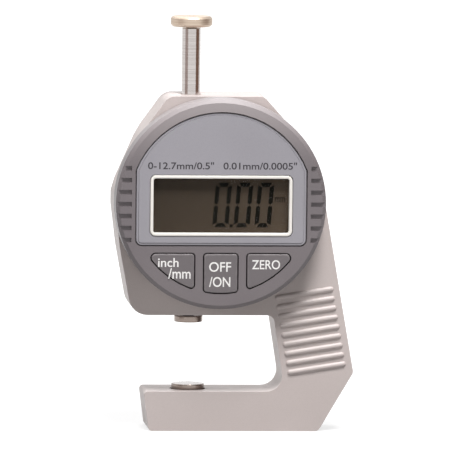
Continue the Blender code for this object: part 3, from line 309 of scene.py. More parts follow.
def looped(rings: np.ndarray, edge: np.ndarray | None = None) -> Shell:
    """A closed band whose last ring joins its first.

    Args:
        rings: Array (ring, point, 3).
        edge: Nearness to an edge for each ring, or None for none.

    Returns:
        The shell.
    """
    count, columns, _ = rings.shape
    near = np.zeros(count) if edge is None else edge
    return Shell(rings.reshape(-1, 3), [quads(count, columns, True)], np.repeat(near, columns))


def upright(outline: np.ndarray, depth: float, x: float, z: float) -> np.ndarray:
    """Stands an outline (x, z) in the dial's plane at a depth, about a centre."""
    return np.stack(
        [outline[:, 0] + x, np.full(len(outline), depth), outline[:, 1] + z], axis=1
    )


def turned(
    profile: np.ndarray, place: tuple[float, float, float], axis: Axis, steps: int = 96
) -> Shell:
    """A surface of revolution: each profile point's radius times the cosine and sine of the turn.

    Args:
        profile: Points (radius, level) from the axis over the outer side to the axis again. Levels
            are heights, or depths for a piece that is turned about the depth.
        place: The point that levels and radii are counted from.
        axis: The line that it is turned about.
        steps: Points in each ring.

    Returns:
        The shell, with the points next to a change of direction marked as an edge.
    """
    body = profile[1:-1]
    turn = np.linspace(0, 2 * math.pi, steps, endpoint=False)
    across = body[:, 0, None] * np.cos(turn)
    other = body[:, 0, None] * np.sin(turn)
    level = np.repeat(body[:, 1, None], steps, axis=1)
    run = np.diff(profile, axis=0)
    run = run / np.maximum(np.linalg.norm(run, axis=1, keepdims=True), 1e-12)
    bend = np.clip(1 - (run[1:] * run[:-1]).sum(1), 0, 1)
    if axis is Axis.UPRIGHT:
        rings = np.stack([across, other, level], axis=2)
    else:
        rings = np.stack([across, level, other], axis=2)
    shell = stacked(rings + np.array(place), np.minimum(bend * 8, 1))
    middle = np.array(place)
    lift = np.array([0, 0, 1]) if axis is Axis.UPRIGHT else np.array([0, 1, 0])
    shell.points[-2] = middle + lift * profile[0, 1]
    shell.points[-1] = middle + lift * profile[-1, 1]
    return shell


def welded_copy(
    node: str, name: str, edge: float, segments: int = 2, dissolve: bool = True
) -> bpy.types.Object:
    """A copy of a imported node, its loose triangles merged, its edges rounded and its flats shaded flat.

    Args:
        node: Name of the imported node.
        name: Name of the new piece.
        edge: Width of the rounding, or 0 to keep the edges as they are.
        segments: Chords across the rounding.
        dissolve: True to make flat faces whole before the edges are rounded.

    Returns:
        The new object at the origin.
    """
    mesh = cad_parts[node].data.copy()
    mesh.name = name
    shape = bmesh.new()
    shape.from_mesh(mesh)
    bmesh.ops.remove_doubles(shape, verts=shape.verts, dist=WELD_DISTANCE)
    if dissolve:
        bmesh.ops.dissolve_limit(
            shape, angle_limit=math.radians(FLAT_DEGREES), verts=shape.verts, edges=shape.edges
        )
    shape.to_mesh(mesh)
    shape.free()
    mesh.materials.clear()
    for layer in [item.name for item in mesh.attributes if item.name == "custom_normal"]:
        mesh.attributes.remove(mesh.attributes[layer])
    mesh.shade_smooth()
    mesh.set_sharp_from_angle(angle=math.radians(SHARP_DEGREES))
    obj = bpy.data.objects.new(name, mesh)
    bpy.context.scene.collection.objects.link(obj)
    if edge > 0:
        bevel = obj.modifiers.new("Edges", "BEVEL")
        bevel.width = edge
        bevel.segments = segments
        bevel.limit_method = "ANGLE"
        bevel.angle_limit = math.radians(SHARP_DEGREES)
    weighted = obj.modifiers.new("Normals", "WEIGHTED_NORMAL")
    weighted.keep_sharp = True
    weighted.weight = 100
    return obj


def lettering(
    name: str,
    words: str,
    centre: tuple[float, float, float],
    width: float,
    height: float,
    rise: float = LEGEND_RISE,
) -> bpy.types.Object:
    """Plain words as a thin mesh that faces the front.

    The letters are made flat in their own plane; each point's place across is scaled to the
    width, its place up to the height, and the plane is stood up in front of the face.

    Args:
        name: Name of the piece.
        words: What it says.
        centre: Middle of the words' box, on the face that carries them.
        width: Width of the words.
        height: Height of the words.
        rise: How far the front of the letters stands before the face; they are as deep behind it.

    Returns:
        The mesh object at the origin.
    """
    curve = bpy.data.curves.new(name, "FONT")
    curve.body = words
    curve.extrude = 1.0
    curve.offset = LETTER_WEIGHT
    curve.resolution_u = LETTER_STEPS
    guide = bpy.data.objects.new(name + "_curve", curve)
    bpy.context.scene.collection.objects.link(guide)
    bpy.context.view_layer.update()
    graph = bpy.context.evaluated_depsgraph_get()
    mesh = bpy.data.meshes.new_from_object(guide.evaluated_get(graph))
    bpy.data.objects.remove(guide, do_unlink=True)
    mesh.name = name
    flat = np.zeros(len(mesh.vertices) * 3, np.float32)
    mesh.vertices.foreach_get("co", flat)
    flat = flat.reshape(-1, 3).astype(float)
    low = flat.min(0)
    size = flat.max(0) - low
    share = (flat - low) / size - 0.5
    placed = np.stack(
        [
            centre[0] + share[:, 0] * width,
            centre[1] - share[:, 2] * 2 * rise,
            centre[2] + share[:, 1] * height,
        ],
        axis=1,
    )
    mesh.vertices.foreach_set("co", placed.astype(np.float32).ravel())
    mesh.update()
    obj = bpy.data.objects.new(name, mesh)
    bpy.context.scene.collection.objects.link(obj)
    return obj


# Shader node groups


class Graph:
    """Adds nodes to a node tree, sets their sockets and joins them."""

    def __init__(self, tree: bpy.types.NodeTree) -> None:
        """Keeps the tree.

        Args:
            tree: The tree that nodes are added to.
        """
        self.tree = tree
        self.count = 0

    def add(self, kind: str, settings: dict | None = None, **sockets: object) -> bpy.types.Node:
        """Adds a node.

        Args:
            kind: The node's type name.
            settings: Properties of the node itself.
            **sockets: Values or output sockets for its inputs, by name with _ for a space.

        Returns:
            The node.
        """
        node = self.tree.nodes.new(kind)
        node.location = (220 * (self.count % 8), -240 * (self.count // 8))
        self.count += 1
        for key, value in (settings or {}).items():
            setattr(node, key, value)
        for key, value in sockets.items():
            self.feed(node, key.replace("_", " "), value)
        return node

    def feed(self, node: bpy.types.Node, socket: str, value: object) -> None:
        """Sets an input to a value, or links an output socket to it.

        Args:
            node: The node.
            socket: The input's name, or its number as text after a #.
            value: A number, colour, vector or output socket.
        """
        target = node.inputs[int(socket[1:])] if socket.startswith("#") else node.inputs[socket]
        if isinstance(value, bpy.types.NodeSocket):
            self.tree.links.new(value, target)
        else:
            target.default_value = value

    def maths(
        self, operation: str, first: object, second: object = 0.0, third: object = 0.0
    ) -> bpy.types.NodeSocket:
        """Adds a Math node.

        Args:
            operation: Its operation.
            first: First number or socket.
            second: Second number or socket.
            third: Third number or socket.

        Returns:
            Its output.
        """
        node = self.add("ShaderNodeMath", {"operation": operation})
        for index, value in enumerate((first, second, third)):
            self.feed(node, f"#{index}", value)
        return node.outputs[0]

    def blend(self, share: object, first: object, second: object) -> bpy.types.NodeSocket:
        """Mixes two colours.

        Args:
            share: Share of the second colour.
            first: First colour or socket.
            second: Second colour or socket.

        Returns:
            The mixed colour.
        """
        node = self.add("ShaderNodeMix", {"data_type": "RGBA"})
        self.feed(node, "#0", share)
        self.feed(node, "#6", first)
        self.feed(node, "#7", second)
        return node.outputs[2]

    def span(
        self, value: object, low: float, high: float, smooth: bool = False
    ) -> bpy.types.NodeSocket:
        """Maps a value between two limits onto 0 to 1.

        Args:
            value: The value or socket.
            low: Where 0 lies.
            high: Where 1 lies.
            smooth: True for a smooth step, False for a straight one.

        Returns:
            The mapped value.
        """
        kind = {"interpolation_type": "SMOOTHSTEP" if smooth else "LINEAR"}
        node = self.add("ShaderNodeMapRange", kind, Value=value)
        self.feed(node, "From Min", low)
        self.feed(node, "From Max", high)
        return node.outputs[0]


def new_group(
    name: str, inputs: Sequence[tuple[str, str]], outputs: Sequence[tuple[str, str]]
) -> tuple[bpy.types.NodeTree, Graph, bpy.types.Node, bpy.types.Node]:
    """Starts a shader node group with named sockets.

    Args:
        name: The group's name.
        inputs: (name, kind) of each input, the kind being Float, Color or Vector.
        outputs: (name, kind) of each output.

    Returns:
        The group, its graph, its input node and its output node.
    """
    group = bpy.data.node_groups.new(name, "ShaderNodeTree")
    for way, sockets in (("INPUT", inputs), ("OUTPUT", outputs)):
        for label, kind in sockets:
            group.interface.new_socket(name=label, in_out=way, socket_type=f"NodeSocket{kind}")
    graph = Graph(group)
    return group, graph, graph.add("NodeGroupInput"), graph.add("NodeGroupOutput")


class Effects:
    """The surface effects that several finishes share, each a node group built once."""

    def __init__(self) -> None:
        """Builds every group."""
        self.grain = self.build_grain()
        self.drift = self.build_drift()
        self.handling = self.build_handling()
        self.tooling = self.build_tooling()
        self.rubbed = self.build_rubbed()

    @staticmethod
    def build_grain() -> bpy.types.NodeTree:
        """Fine moulded or sprayed grain: two noises, one a third as fine, added.

        Returns:
            The group.
        """
        group, graph, given, out = new_group(
            "surface_grain",
            [("Vector", "Vector"), ("Scale", "Float")],
            [("Height", "Float"), ("Fleck", "Float")],
        )
        vector, scale = given.outputs[0], given.outputs[1]
        broad_scale, broad_share = 0.33, 0.6
        fleck_low, fleck_high = 0.42, 0.68
        fine = graph.add("ShaderNodeTexNoise", Vector=vector, Scale=scale, Detail=3.0)
        slow = graph.maths("MULTIPLY", scale, broad_scale)
        broad = graph.add("ShaderNodeTexNoise", Vector=vector, Scale=slow, Detail=1.0)
        height = graph.maths("MULTIPLY_ADD", broad.outputs[0], broad_share, fine.outputs[0])
        graph.feed(out, "Height", height)
        graph.feed(out, "Fleck", graph.span(fine.outputs[0], fleck_low, fleck_high, smooth=True))
        return group

    @staticmethod
    def build_drift() -> bpy.types.NodeTree:
        """Slow change between two near colours, as in paint and moulded plastic.

        Returns:
            The group.
        """
        group, graph, given, out = new_group(
            "colour_drift",
            [
                ("Vector", "Vector"),
                ("Scale", "Float"),
                ("First", "Color"),
                ("Second", "Color"),
                ("Fleck", "Float"),
            ],
            [("Color", "Color")],
        )
        low, high = 0.3, 0.7
        slow_share, fleck_share = 0.65, 0.35
        slow = graph.add(
            "ShaderNodeTexNoise", Vector=given.outputs[0], Scale=given.outputs[1], Detail=2.0
        )
        share = graph.span(slow.outputs[0], low, high, smooth=True)
        both = graph.add("ShaderNodeMath", {"operation": "ADD", "use_clamp": True})
        graph.feed(both, "#0", graph.maths("MULTIPLY", share, slow_share))
        graph.feed(both, "#1", graph.maths("MULTIPLY", given.outputs[4], fleck_share))
        graph.feed(out, "Color", graph.blend(both.outputs[0], given.outputs[2], given.outputs[3]))
        return group

    @staticmethod
    def build_handling() -> bpy.types.NodeTree:
        """Roughness with faint smears where fingers have been.

        Returns:
            The group.
        """
        group, graph, given, out = new_group(
            "handling",
            [("Vector", "Vector"), ("Roughness", "Float"), ("Spread", "Float")],
            [("Roughness", "Float")],
        )
        smear_scale, smear_twist, noise_mean = 160.0, 1.2, 0.5
        smear = graph.add(
            "ShaderNodeTexNoise",
            Vector=given.outputs[0],
            Scale=smear_scale,
            Detail=4.0,
            Distortion=smear_twist,
        )
        shift = graph.maths("SUBTRACT", smear.outputs[0], noise_mean)
        roughness = graph.maths("MULTIPLY_ADD", shift, given.outputs[2], given.outputs[1])
        graph.feed(out, "Roughness", roughness)
        return group

    @staticmethod
    def build_tooling() -> bpy.types.NodeTree:
        """Fine tool marks: noise stretched round the turned piece's axis, so that it reads as lines.

        Returns:
            The group. The vector is centred on the axis before it comes in, with the axis as Z.
        """
        group, graph, given, out = new_group(
            "tool_marks",
            [("Vector", "Vector"), ("Scale", "Float")],
            [("Height", "Float"), ("Shade", "Float")],
        )
        low, high = 0.3, 0.7
        apart = graph.add("ShaderNodeSeparateXYZ", Vector=given.outputs[0])
        flat = graph.add("ShaderNodeCombineXYZ", X=apart.outputs[0], Y=apart.outputs[1])
        reach = graph.add("ShaderNodeVectorMath", {"operation": "LENGTH"})
        graph.feed(reach, "#0", flat.outputs[0])
        along = graph.add("ShaderNodeCombineXYZ", X=reach.outputs["Value"], Y=apart.outputs[2])
        flat_noise = {"noise_dimensions": "2D"}
        lines = graph.add("ShaderNodeTexNoise", flat_noise, Vector=along.outputs[0], Detail=3.0)
        graph.feed(lines, "Scale", given.outputs[1])
        graph.feed(out, "Height", lines.outputs[0])
        graph.feed(out, "Shade", graph.span(lines.outputs[0], low, high))
        return group

    @staticmethod
    def build_rubbed() -> bpy.types.NodeTree:
        """Where an edge is rubbed: the mesh's edge value, broken up by noise.

        Returns:
            The group.
        """
        group, graph, given, out = new_group(
            "rubbed_edge", [("Vector", "Vector"), ("Edge", "Float")], [("Mask", "Float")]
        )
        patch_scale, low, high = 900.0, 0.35, 0.75
        patch = graph.add(
            "ShaderNodeTexNoise", Vector=given.outputs[0], Scale=patch_scale, Detail=5.0
        )
        ragged = graph.span(patch.outputs[0], low, high)
        graph.feed(out, "Mask", graph.maths("MULTIPLY", ragged, given.outputs[1]))
        return group


class Surface:
    """A material being made: its graph, its shader and its coordinates."""

    def __init__(
        self,
        name: str,
        effects: Effects,
        centre: Sequence[float] = (0, 0, 0),
        axis: Axis = Axis.UPRIGHT,
    ) -> None:
        """Makes the material with its shader and a Mapping node that centres the pattern.

        Args:
            name: The material's name.
            effects: The shared node groups.
            centre: The point that the pattern is centred on.
            axis: The axis that the mapping turns into Z.
        """
        self.effects = effects
        self.material = bpy.data.materials.new(name)
        self.material.use_nodes = True
        tree = self.material.node_tree
        tree.nodes.clear()
        self.graph = Graph(tree)
        self.out = self.graph.add("ShaderNodeOutputMaterial")
        self.shader = self.graph.add("ShaderNodeBsdfPrincipled")
        self.graph.feed(self.out, "Surface", self.shader.outputs[0])
        place = self.graph.add("ShaderNodeTexCoord")
        mapping = self.graph.add(
            "ShaderNodeMapping", {"vector_type": "TEXTURE"}, Vector=place.outputs["Object"]
        )
        mapping.inputs["Location"].default_value = tuple(centre)
        turn = QUARTER if axis is Axis.DEPTH else 0
        mapping.inputs["Rotation"].default_value = (turn, 0, 0)
        self.vector = mapping.outputs[0]

    def use(self, group: bpy.types.NodeTree, **sockets: object) -> bpy.types.Node:
        """Places a shared group on this material's coordinates.

        Args:
            group: The group.
            **sockets: Values or sockets for its inputs.

        Returns:
            The group's node.
        """
        return self.graph.add("ShaderNodeGroup", {"node_tree": group}, Vector=self.vector, **sockets)

    def smears(self, roughness: float, spread: float) -> None:
        """Feeds the shader a roughness with finger smears.

        Args:
            roughness: The mean roughness.
            spread: How far the smears change it.
        """
        made = self.use(self.effects.handling, Roughness=roughness, Spread=spread)
        self.graph.feed(self.shader, "Roughness", made.outputs[0])

    def bump(self, height: bpy.types.NodeSocket, distance: float) -> None:
        """Feeds a height to the shader's normal.

        Args:
            height: The height socket.
            distance: Depth of the relief.
        """
        node = self.graph.add("ShaderNodeBump", Height=height)
        node.inputs["Distance"].default_value = distance
        node.inputs["Strength"].default_value = 1.0
        self.graph.feed(self.shader, "Normal", node.outputs[0])


@dataclass(frozen=True)
class PlasticFinish:
    """A satin moulded plastic or sprayed paint, with fine grain and rubbed edges.

    Where top is given, the colour turns into it over the heights that span names; that lighter top is painted
    light, as from above."""

    name: str
    light: Colour
    dark: Colour
    roughness: float = 0.45
    grain: float = 5200.0
    relief: float = 0.012 * MM
    drift: float = 45.0
    worn: Colour | None = None
    smear: float = 0.18
    # top: a lighter colour painted towards the top of the piece over the heights in span, which is painted
    # light from above
    top: Colour | None = None
    span: tuple[float, float] = (0.0, 1.0)

    def make(self, effects: Effects) -> bpy.types.Material:
        """Builds the material: drifting colour with flecks, smeared roughness and grain relief.

        Args:
            effects: The shared node groups.

        Returns:
            The material.
        """
        surface = Surface(self.name, effects)
        grain = surface.use(effects.grain, Scale=self.grain)
        drift = surface.use(
            effects.drift,
            Scale=self.drift,
            First=self.light,
            Second=self.dark,
            Fleck=grain.outputs["Fleck"],
        )
        colour = drift.outputs["Color"]
        # painted light: the colour grows lighter towards the top, as if lit from above
        if self.top is not None:
            level = surface.graph.add("ShaderNodeSeparateXYZ", Vector=surface.vector)
            rise = surface.graph.span(level.outputs[2], *self.span, smooth=True)
            colour = surface.graph.blend(rise, colour, self.top)
        if self.worn is not None:
            edge = surface.graph.add("ShaderNodeAttribute", {"attribute_name": "edge"})
            rubbed = surface.use(effects.rubbed, Edge=edge.outputs["Fac"])
            colour = surface.graph.blend(rubbed.outputs["Mask"], colour, self.worn)
        surface.graph.feed(surface.shader, "Base Color", colour)
        surface.smears(self.roughness, self.smear)
        surface.bump(grain.outputs["Height"], self.relief)
        return surface.material


@dataclass(frozen=True)
class MetalFinish:
    """A bare or plated metal with tool marks."""

    name: str
    light: Colour
    dark: Colour
    roughness: float
    lay: Lay = Lay.NONE
    smear: float = 0.12
    marks: float = 9000.0
    relief: float = 0.002 * MM

    def make(self, effects: Effects) -> bpy.types.Material:
        """Builds the material: a metal whose colour, roughness and relief follow its tool marks.

        Args:
            effects: The shared node groups.

        Returns:
            The material.
        """
        surface = Surface(self.name, effects)
        if self.lay is Lay.NONE:
            made = surface.use(effects.grain, Scale=self.marks)
            shade = made.outputs["Fleck"]
        else:
            made = surface.use(effects.tooling, Scale=self.marks)
            shade = made.outputs["Shade"]
        colour = surface.graph.blend(shade, self.light, self.dark)
        surface.graph.feed(surface.shader, "Base Color", colour)
        surface.shader.inputs["Metallic"].default_value = 1.0
        surface.smears(self.roughness, self.smear)
        surface.bump(made.outputs["Height"], self.relief)
        return surface.material


@dataclass(frozen=True)
class GlassFinish:
    """A clear pane with the faintest smears."""

    name: str = "clear_pane"
    tint: Colour = (0.97, 0.975, 0.965, 1.0)
    roughness: float = 0.03
    smear: float = 0.03
    body: float = 0.03

    def make(self, effects: Effects) -> bpy.types.Material:
        """Builds the material: clear, thin, with roughness that changes a little.

        Args:
            effects: The shared node groups.

        Returns:
            The material.
        """
        surface = Surface(self.name, effects)
        surface.shader.inputs["Base Color"].default_value = self.tint
        surface.shader.inputs["Metallic"].default_value = 0.0
        surface.shader.inputs["Transmission Weight"].default_value = 1.0
        surface.shader.inputs["Alpha"].default_value = self.body
        surface.smears(self.roughness, self.smear)
        return surface.material


@dataclass(frozen=True)
class PanelFinish:
    """The liquid-crystal panel: dark olive, with painted shade that darkens it towards its left, so that it
    is a touch lighter towards its right.
    """

    name: str = "display_panel_painted_shade"
    # deep is the panel's colour with painted shade, used on its left side
    deep: Colour = tone(58, 50, 42)
    clear: Colour = tone(77, 66, 55)
    centre: tuple[float, float, float] = (0.0, 0.0, 0.0)
    half_width: float = 14.0 * MM
    specular: float = 0.05
    roughness: float = 0.35
    smear: float = 0.1
    grain: float = 2600.0
    relief: float = 0.002 * MM
    grain_share: float = 0.15
    painted_shade_share: float = 0.7

    def make(self, effects: Effects) -> bpy.types.Material:
        """Builds the material: a slow gradient of painted shade across the panel, darker to the left, with
        fine grain.

        Args:
            effects: The shared node groups.

        Returns:
            The material.
        """
        surface = Surface(self.name, effects, self.centre)
        apart = surface.graph.add("ShaderNodeSeparateXYZ", Vector=surface.vector)
        # painted shade: darker on the panel's left side, lighter towards its right
        painted_shade_ramp = surface.graph.span(apart.outputs[0], -self.half_width, self.half_width, smooth=True)
        grain = surface.use(effects.grain, Scale=self.grain)
        faint = surface.graph.maths("MULTIPLY", grain.outputs["Fleck"], self.grain_share)
        share = surface.graph.maths("MULTIPLY_ADD", painted_shade_ramp, self.painted_shade_share, faint)
        colour = surface.graph.blend(share, self.deep, self.clear)
        surface.graph.feed(surface.shader, "Base Color", colour)
        surface.shader.inputs["Specular IOR Level"].default_value = self.specular
        surface.smears(self.roughness, self.smear)
        surface.bump(grain.outputs["Height"], self.relief)
        return surface.material


@dataclass(frozen=True)
class LaminateFinish:
    """The circuit board: green mask over tracks."""

    name: str = "board_laminate"
    mask: Colour = tone(26, 92, 52)
    track: Colour = tone(44, 122, 68)
    pitch: float = 260.0
    joint: float = 0.03
    grain: float = 3800.0
    drift: float = 70.0
    roughness: float = 0.4
    smear: float = 0.1
    relief: float = 0.01 * MM

    def make(self, effects: Effects) -> bpy.types.Material:
        """Builds the material: the tracks are a brick pattern's joints, a little lighter and higher.

        Args:
            effects: The shared node groups.

        Returns:
            The material.
        """
        surface = Surface(self.name, effects, axis=Axis.DEPTH)
        tracks = surface.graph.add("ShaderNodeTexBrick", Vector=surface.vector, Scale=self.pitch)
        surface.graph.feed(tracks, "Mortar Size", self.joint)
        grain = surface.use(effects.grain, Scale=self.grain)
        base = surface.use(
            effects.drift, Scale=self.drift, First=self.mask, Second=self.track, Fleck=grain.outputs[1]
        )
        colour = surface.graph.blend(tracks.outputs["Fac"], base.outputs[0], self.track)
        surface.graph.feed(surface.shader, "Base Color", colour)
        surface.smears(self.roughness, self.smear)
        surface.bump(tracks.outputs["Fac"], self.relief)
        return surface.material


@dataclass(frozen=True)
class InkFinish:
    """Printed ink, with slightly uneven cover."""

    name: str
    colour: Colour
    thin: Colour
    roughness: float = 0.5
    specular: float = 0.2
    smear: float = 0.1
    grain: float = 7000.0
    relief: float = 0.003 * MM

    def make(self, effects: Effects) -> bpy.types.Material:
        """Builds the material: two near tones by fine noise, and a low relief.

        Args:
            effects: The shared node groups.

        Returns:
            The material.
        """
        surface = Surface(self.name, effects)
        grain = surface.use(effects.grain, Scale=self.grain)
        colour = surface.graph.blend(grain.outputs["Fleck"], self.colour, self.thin)
        surface.graph.feed(surface.shader, "Base Color", colour)
        surface.shader.inputs["Specular IOR Level"].default_value = self.specular
        surface.smears(self.roughness, self.smear)
        surface.bump(grain.outputs["Height"], self.relief)
        return surface.material


class Finishes:
    """Every finish of the gauge, made once."""

    def __init__(self, dial: "DialPlaces") -> None:
        """Makes the shared groups and the materials.

        Args:
            dial: Where the dial stands.
        """
        effects = Effects()
        centre = (dial.x, 0.0, dial.z)
        self.body = PlasticFinish(
            "cast_body_paint", tone(194, 183, 180), tone(186, 175, 172), 0.42,
            worn=tone(208, 199, 196), relief=0.01 * MM,
        ).make(effects)
        # The housing's top colour is painted light: it grows lighter towards the top of the dial, as if lit
        # from above.
        self.housing = PlasticFinish(
            "dial_housing_grey_painted_top_light", tone(113, 106, 108), tone(105, 98, 101), 0.42, worn=tone(146, 139, 140),
            top=tone(156, 148, 149), span=(dial.z + 0.3 * dial.radius, dial.z + 1.05 * dial.radius)
        ).make(effects)
        self.plate = PlasticFinish(
            "dial_plate_grey", tone(151, 148, 154), tone(144, 141, 147), 0.36, grain=4200.0, relief=0.006 * MM
        ).make(effects)
        self.keys = PlasticFinish(
            "key_grey", tone(105, 99, 101), tone(97, 91, 93), 0.5, worn=tone(126, 120, 121)
        ).make(effects)
        self.white = PlasticFinish(
            "surround_white", tone(236, 232, 226), tone(229, 224, 217), 0.4, relief=0.005 * MM
        ).make(effects)
        self.black = PlasticFinish("black_plastic", tone(34, 34, 35), tone(26, 26, 27), 0.55).make(effects)
        self.rubber = PlasticFinish("strip_rubber", tone(66, 66, 68), tone(54, 54, 56), 0.8).make(effects)
        self.steel = MetalFinish(
            "ground_steel", tone(214, 208, 205), tone(196, 189, 186), 0.14, Lay.ROUND_THE_AXIS
        ).make(effects)
        self.lapped = MetalFinish(
            "lapped_steel", tone(214, 208, 206), tone(196, 189, 187), 0.2, Lay.ROUND_THE_AXIS, marks=6000.0
        ).make(effects)
        self.turned_steel = MetalFinish(
            "turned_steel", tone(150, 138, 131), tone(122, 110, 103), 0.24, Lay.ROUND_THE_AXIS, marks=7000.0
        ).make(effects)
        self.nickel = MetalFinish(
            "satin_nickel", tone(200, 184, 168), tone(182, 164, 147), 0.42, Lay.ROUND_THE_AXIS, marks=5000.0,
            relief=0.006 * MM,
        ).make(effects)
        self.fixing = MetalFinish("plain_steel", tone(186, 186, 186), tone(160, 160, 162), 0.34).make(effects)
        self.brass = MetalFinish("plain_brass", tone(206, 172, 102), tone(184, 148, 80), 0.32).make(effects)
        self.cap = PlasticFinish(
            "cap_grey", tone(184, 174, 171), tone(176, 165, 162), 0.45, worn=tone(202, 193, 190)
        ).make(effects)
        self.glass = GlassFinish().make(effects)
        self.panel = PanelFinish(centre=centre).make(effects)
        self.laminate = LaminateFinish().make(effects)
        self.dark_ink = InkFinish("dark_ink", tone(58, 55, 59), tone(72, 68, 73)).make(effects)
        self.white_ink = InkFinish("white_ink", tone(240, 238, 236), tone(224, 221, 219)).make(effects)
        self.crystal = InkFinish("dark_segments", tone(16, 15, 12), tone(22, 21, 17), 0.4, 0.02).make(effects)


# The gauge's sub-assemblies


@dataclass
class DialPlaces:
    """Where the dial stands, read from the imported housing."""

    x: float
    z: float
    radius: float
    front: float
    display_z: float

    @classmethod
    def measured(cls) -> "DialPlaces":
        """Reads the dial's centre, radius and front from the housing, and the display's middle.

        Returns:
            The places.
        """
        low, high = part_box("dial_housing")
        panel_low, panel_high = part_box("lcd_panel")
        across = (low.x + high.x) / 2
        level = (low.z + high.z) / 2
        return cls(across, level, (high.x - low.x) / 2, low.y, (panel_low.z + panel_high.z) / 2)


def place_piece(
    obj: bpy.types.Object, body: str, slot: str, finish: bpy.types.Material, *nodes: str
) -> bpy.types.Object:
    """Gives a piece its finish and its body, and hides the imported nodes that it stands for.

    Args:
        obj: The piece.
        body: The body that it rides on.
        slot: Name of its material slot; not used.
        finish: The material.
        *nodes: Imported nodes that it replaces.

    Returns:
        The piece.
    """
    obj.data.materials.clear()
    obj.data.materials.append(finish)
    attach(obj, body)
    if nodes:
        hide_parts(*nodes)
    LOG.info("%s on %s in %s", obj.name, body, finish.name)
    return obj


def lap_ends(obj: bpy.types.Object, finish: bpy.types.Material) -> None:
    """Gives the level faces of a turned piece a second finish.

    Args:
        obj: The piece.
        finish: The finish of the faces that look up or down.
    """
    obj.data.materials.append(finish)
    for face in obj.data.polygons:
        face.material_index = int(abs(face.normal.z) > LEVEL_COSINE)


@dataclass
class SpindleUnit:
    """The ground spindle with its lifting knob above and its contact tip below."""

    finishes: Finishes
    rod_radius: float = 1.95 * MM
    rod_chamfer: float = 0.15 * MM
    stud_radius: float = 1.1 * MM
    tip_stud_radius: float = 1.0 * MM
    tip_stud_length: float = 4.0 * MM
    tip_edge: float = 0.12 * MM
    knob_chamfer: float = 0.45 * MM
    knob_dish: float = 0.06 * MM
    knob_bore: float = 1.4 * MM
    knob_crown: float = 0.6 * MM
    knob_round: float = 0.08 * MM
    dish_share: float = 0.72
    rim_share: float = 0.86

    def build(self) -> None:
        """Builds the rod, the knob and the tip and puts them on the sliding body."""
        finish = self.finishes
        place_piece(self.rod(), "spindle_unit", "polished_steel", finish.steel, "spindle")
        place_piece(self.knob(), "spindle_unit", "nickel", finish.nickel, "lifting_knob")
        tip = self.tip()
        place_piece(tip, "spindle_unit", "polished_steel", finish.turned_steel, "contact_tip")
        lap_ends(tip, finish.lapped)

    def rod(self) -> bpy.types.Object:
        """The spindle: a turned profile with a stud above and a bore for the tip below.

        Returns:
            The piece.
        """
        low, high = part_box("spindle")
        knob_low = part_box("lifting_knob")[0].z
        shoulder = knob_low - SEAT_GAP
        bore = self.tip_stud_radius + SEAT_GAP
        bore_top = low.z + self.tip_stud_length
        profile = (
            (0, high.z),
            (self.stud_radius, high.z),
            (self.stud_radius, shoulder),
            (self.rod_radius, shoulder),
            (self.rod_radius, low.z),
            (bore, low.z),
            (bore, bore_top),
            (0, bore_top),
        )
        rounded = filleted(profile, self.rod_chamfer)
        return turned(rounded, (0, 0, 0), Axis.UPRIGHT).as_object("spindle_rod")

    def knob(self) -> bpy.types.Object:
        """The lifting knob: a chamfered disc, its top a little dished, bored from below.

        Returns:
            The piece.
        """
        low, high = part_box("lifting_knob")
        radius = high.x
        inner = radius - self.knob_chamfer
        bore_top = high.z - self.knob_crown
        profile = (
            (0, high.z - self.knob_dish),
            (inner * self.dish_share, high.z - self.knob_dish),
            (inner * self.rim_share, high.z),
            (inner, high.z),
            (radius, high.z - self.knob_chamfer),
            (radius, low.z + self.knob_chamfer),
            (inner, low.z),
            (self.knob_bore, low.z),
            (self.knob_bore, bore_top),
            (0, bore_top),
        )
        rounded = filleted(profile, self.knob_round, 3)
        return turned(rounded, (0, 0, 0), Axis.UPRIGHT).as_object("knob_disc")

    def tip(self) -> bpy.types.Object:
        """The contact tip: a lapped disc with a stud into the spindle.

        Returns:
            The piece.
        """
        low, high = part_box("contact_tip")
        disc_top = high.z - self.tip_stud_length
        profile = (
            (0, high.z),
            (self.tip_stud_radius, high.z),
            (self.tip_stud_radius, disc_top),
            (high.x, disc_top),
            (high.x, low.z),
            (0, low.z),
        )
        return turned(filleted(profile, self.tip_edge * 2), (0, 0, 0), Axis.UPRIGHT).as_object("tip_disc")


@dataclass
class CastBody:
    """The cast C-shaped body with the lower anvil in its jaw."""

    finishes: Finishes
    edge: float = 0.12 * MM
    anvil_stem_radius: float = 1.5 * MM
    anvil_stem_length: float = 4.5 * MM
    anvil_edge: float = 0.25 * MM

    def build(self) -> None:
        """Builds the body's casting and the anvil."""
        casting = welded_copy("frame", "body_casting", self.edge)
        place_piece(casting, "gauge_body", "body_grey", self.finishes.body, "frame")
        anvil = self.anvil()
        place_piece(anvil, "gauge_body", "polished_steel", self.finishes.turned_steel, "anvil")
        lap_ends(anvil, self.finishes.lapped)

    def anvil(self) -> bpy.types.Object:
        """The anvil: a lapped disc with a stem down into the jaw.

        Returns:
            The piece.
        """
        low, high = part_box("anvil")
        disc_bottom = low.z + self.anvil_stem_length
        profile = (
            (0, high.z),
            (high.x, high.z),
            (high.x, disc_bottom),
            (self.anvil_stem_radius, disc_bottom),
            (self.anvil_stem_radius, low.z),
            (0, low.z),
        )
        return turned(filleted(profile, self.anvil_edge), (0, 0, 0), Axis.UPRIGHT).as_object("anvil_disc")


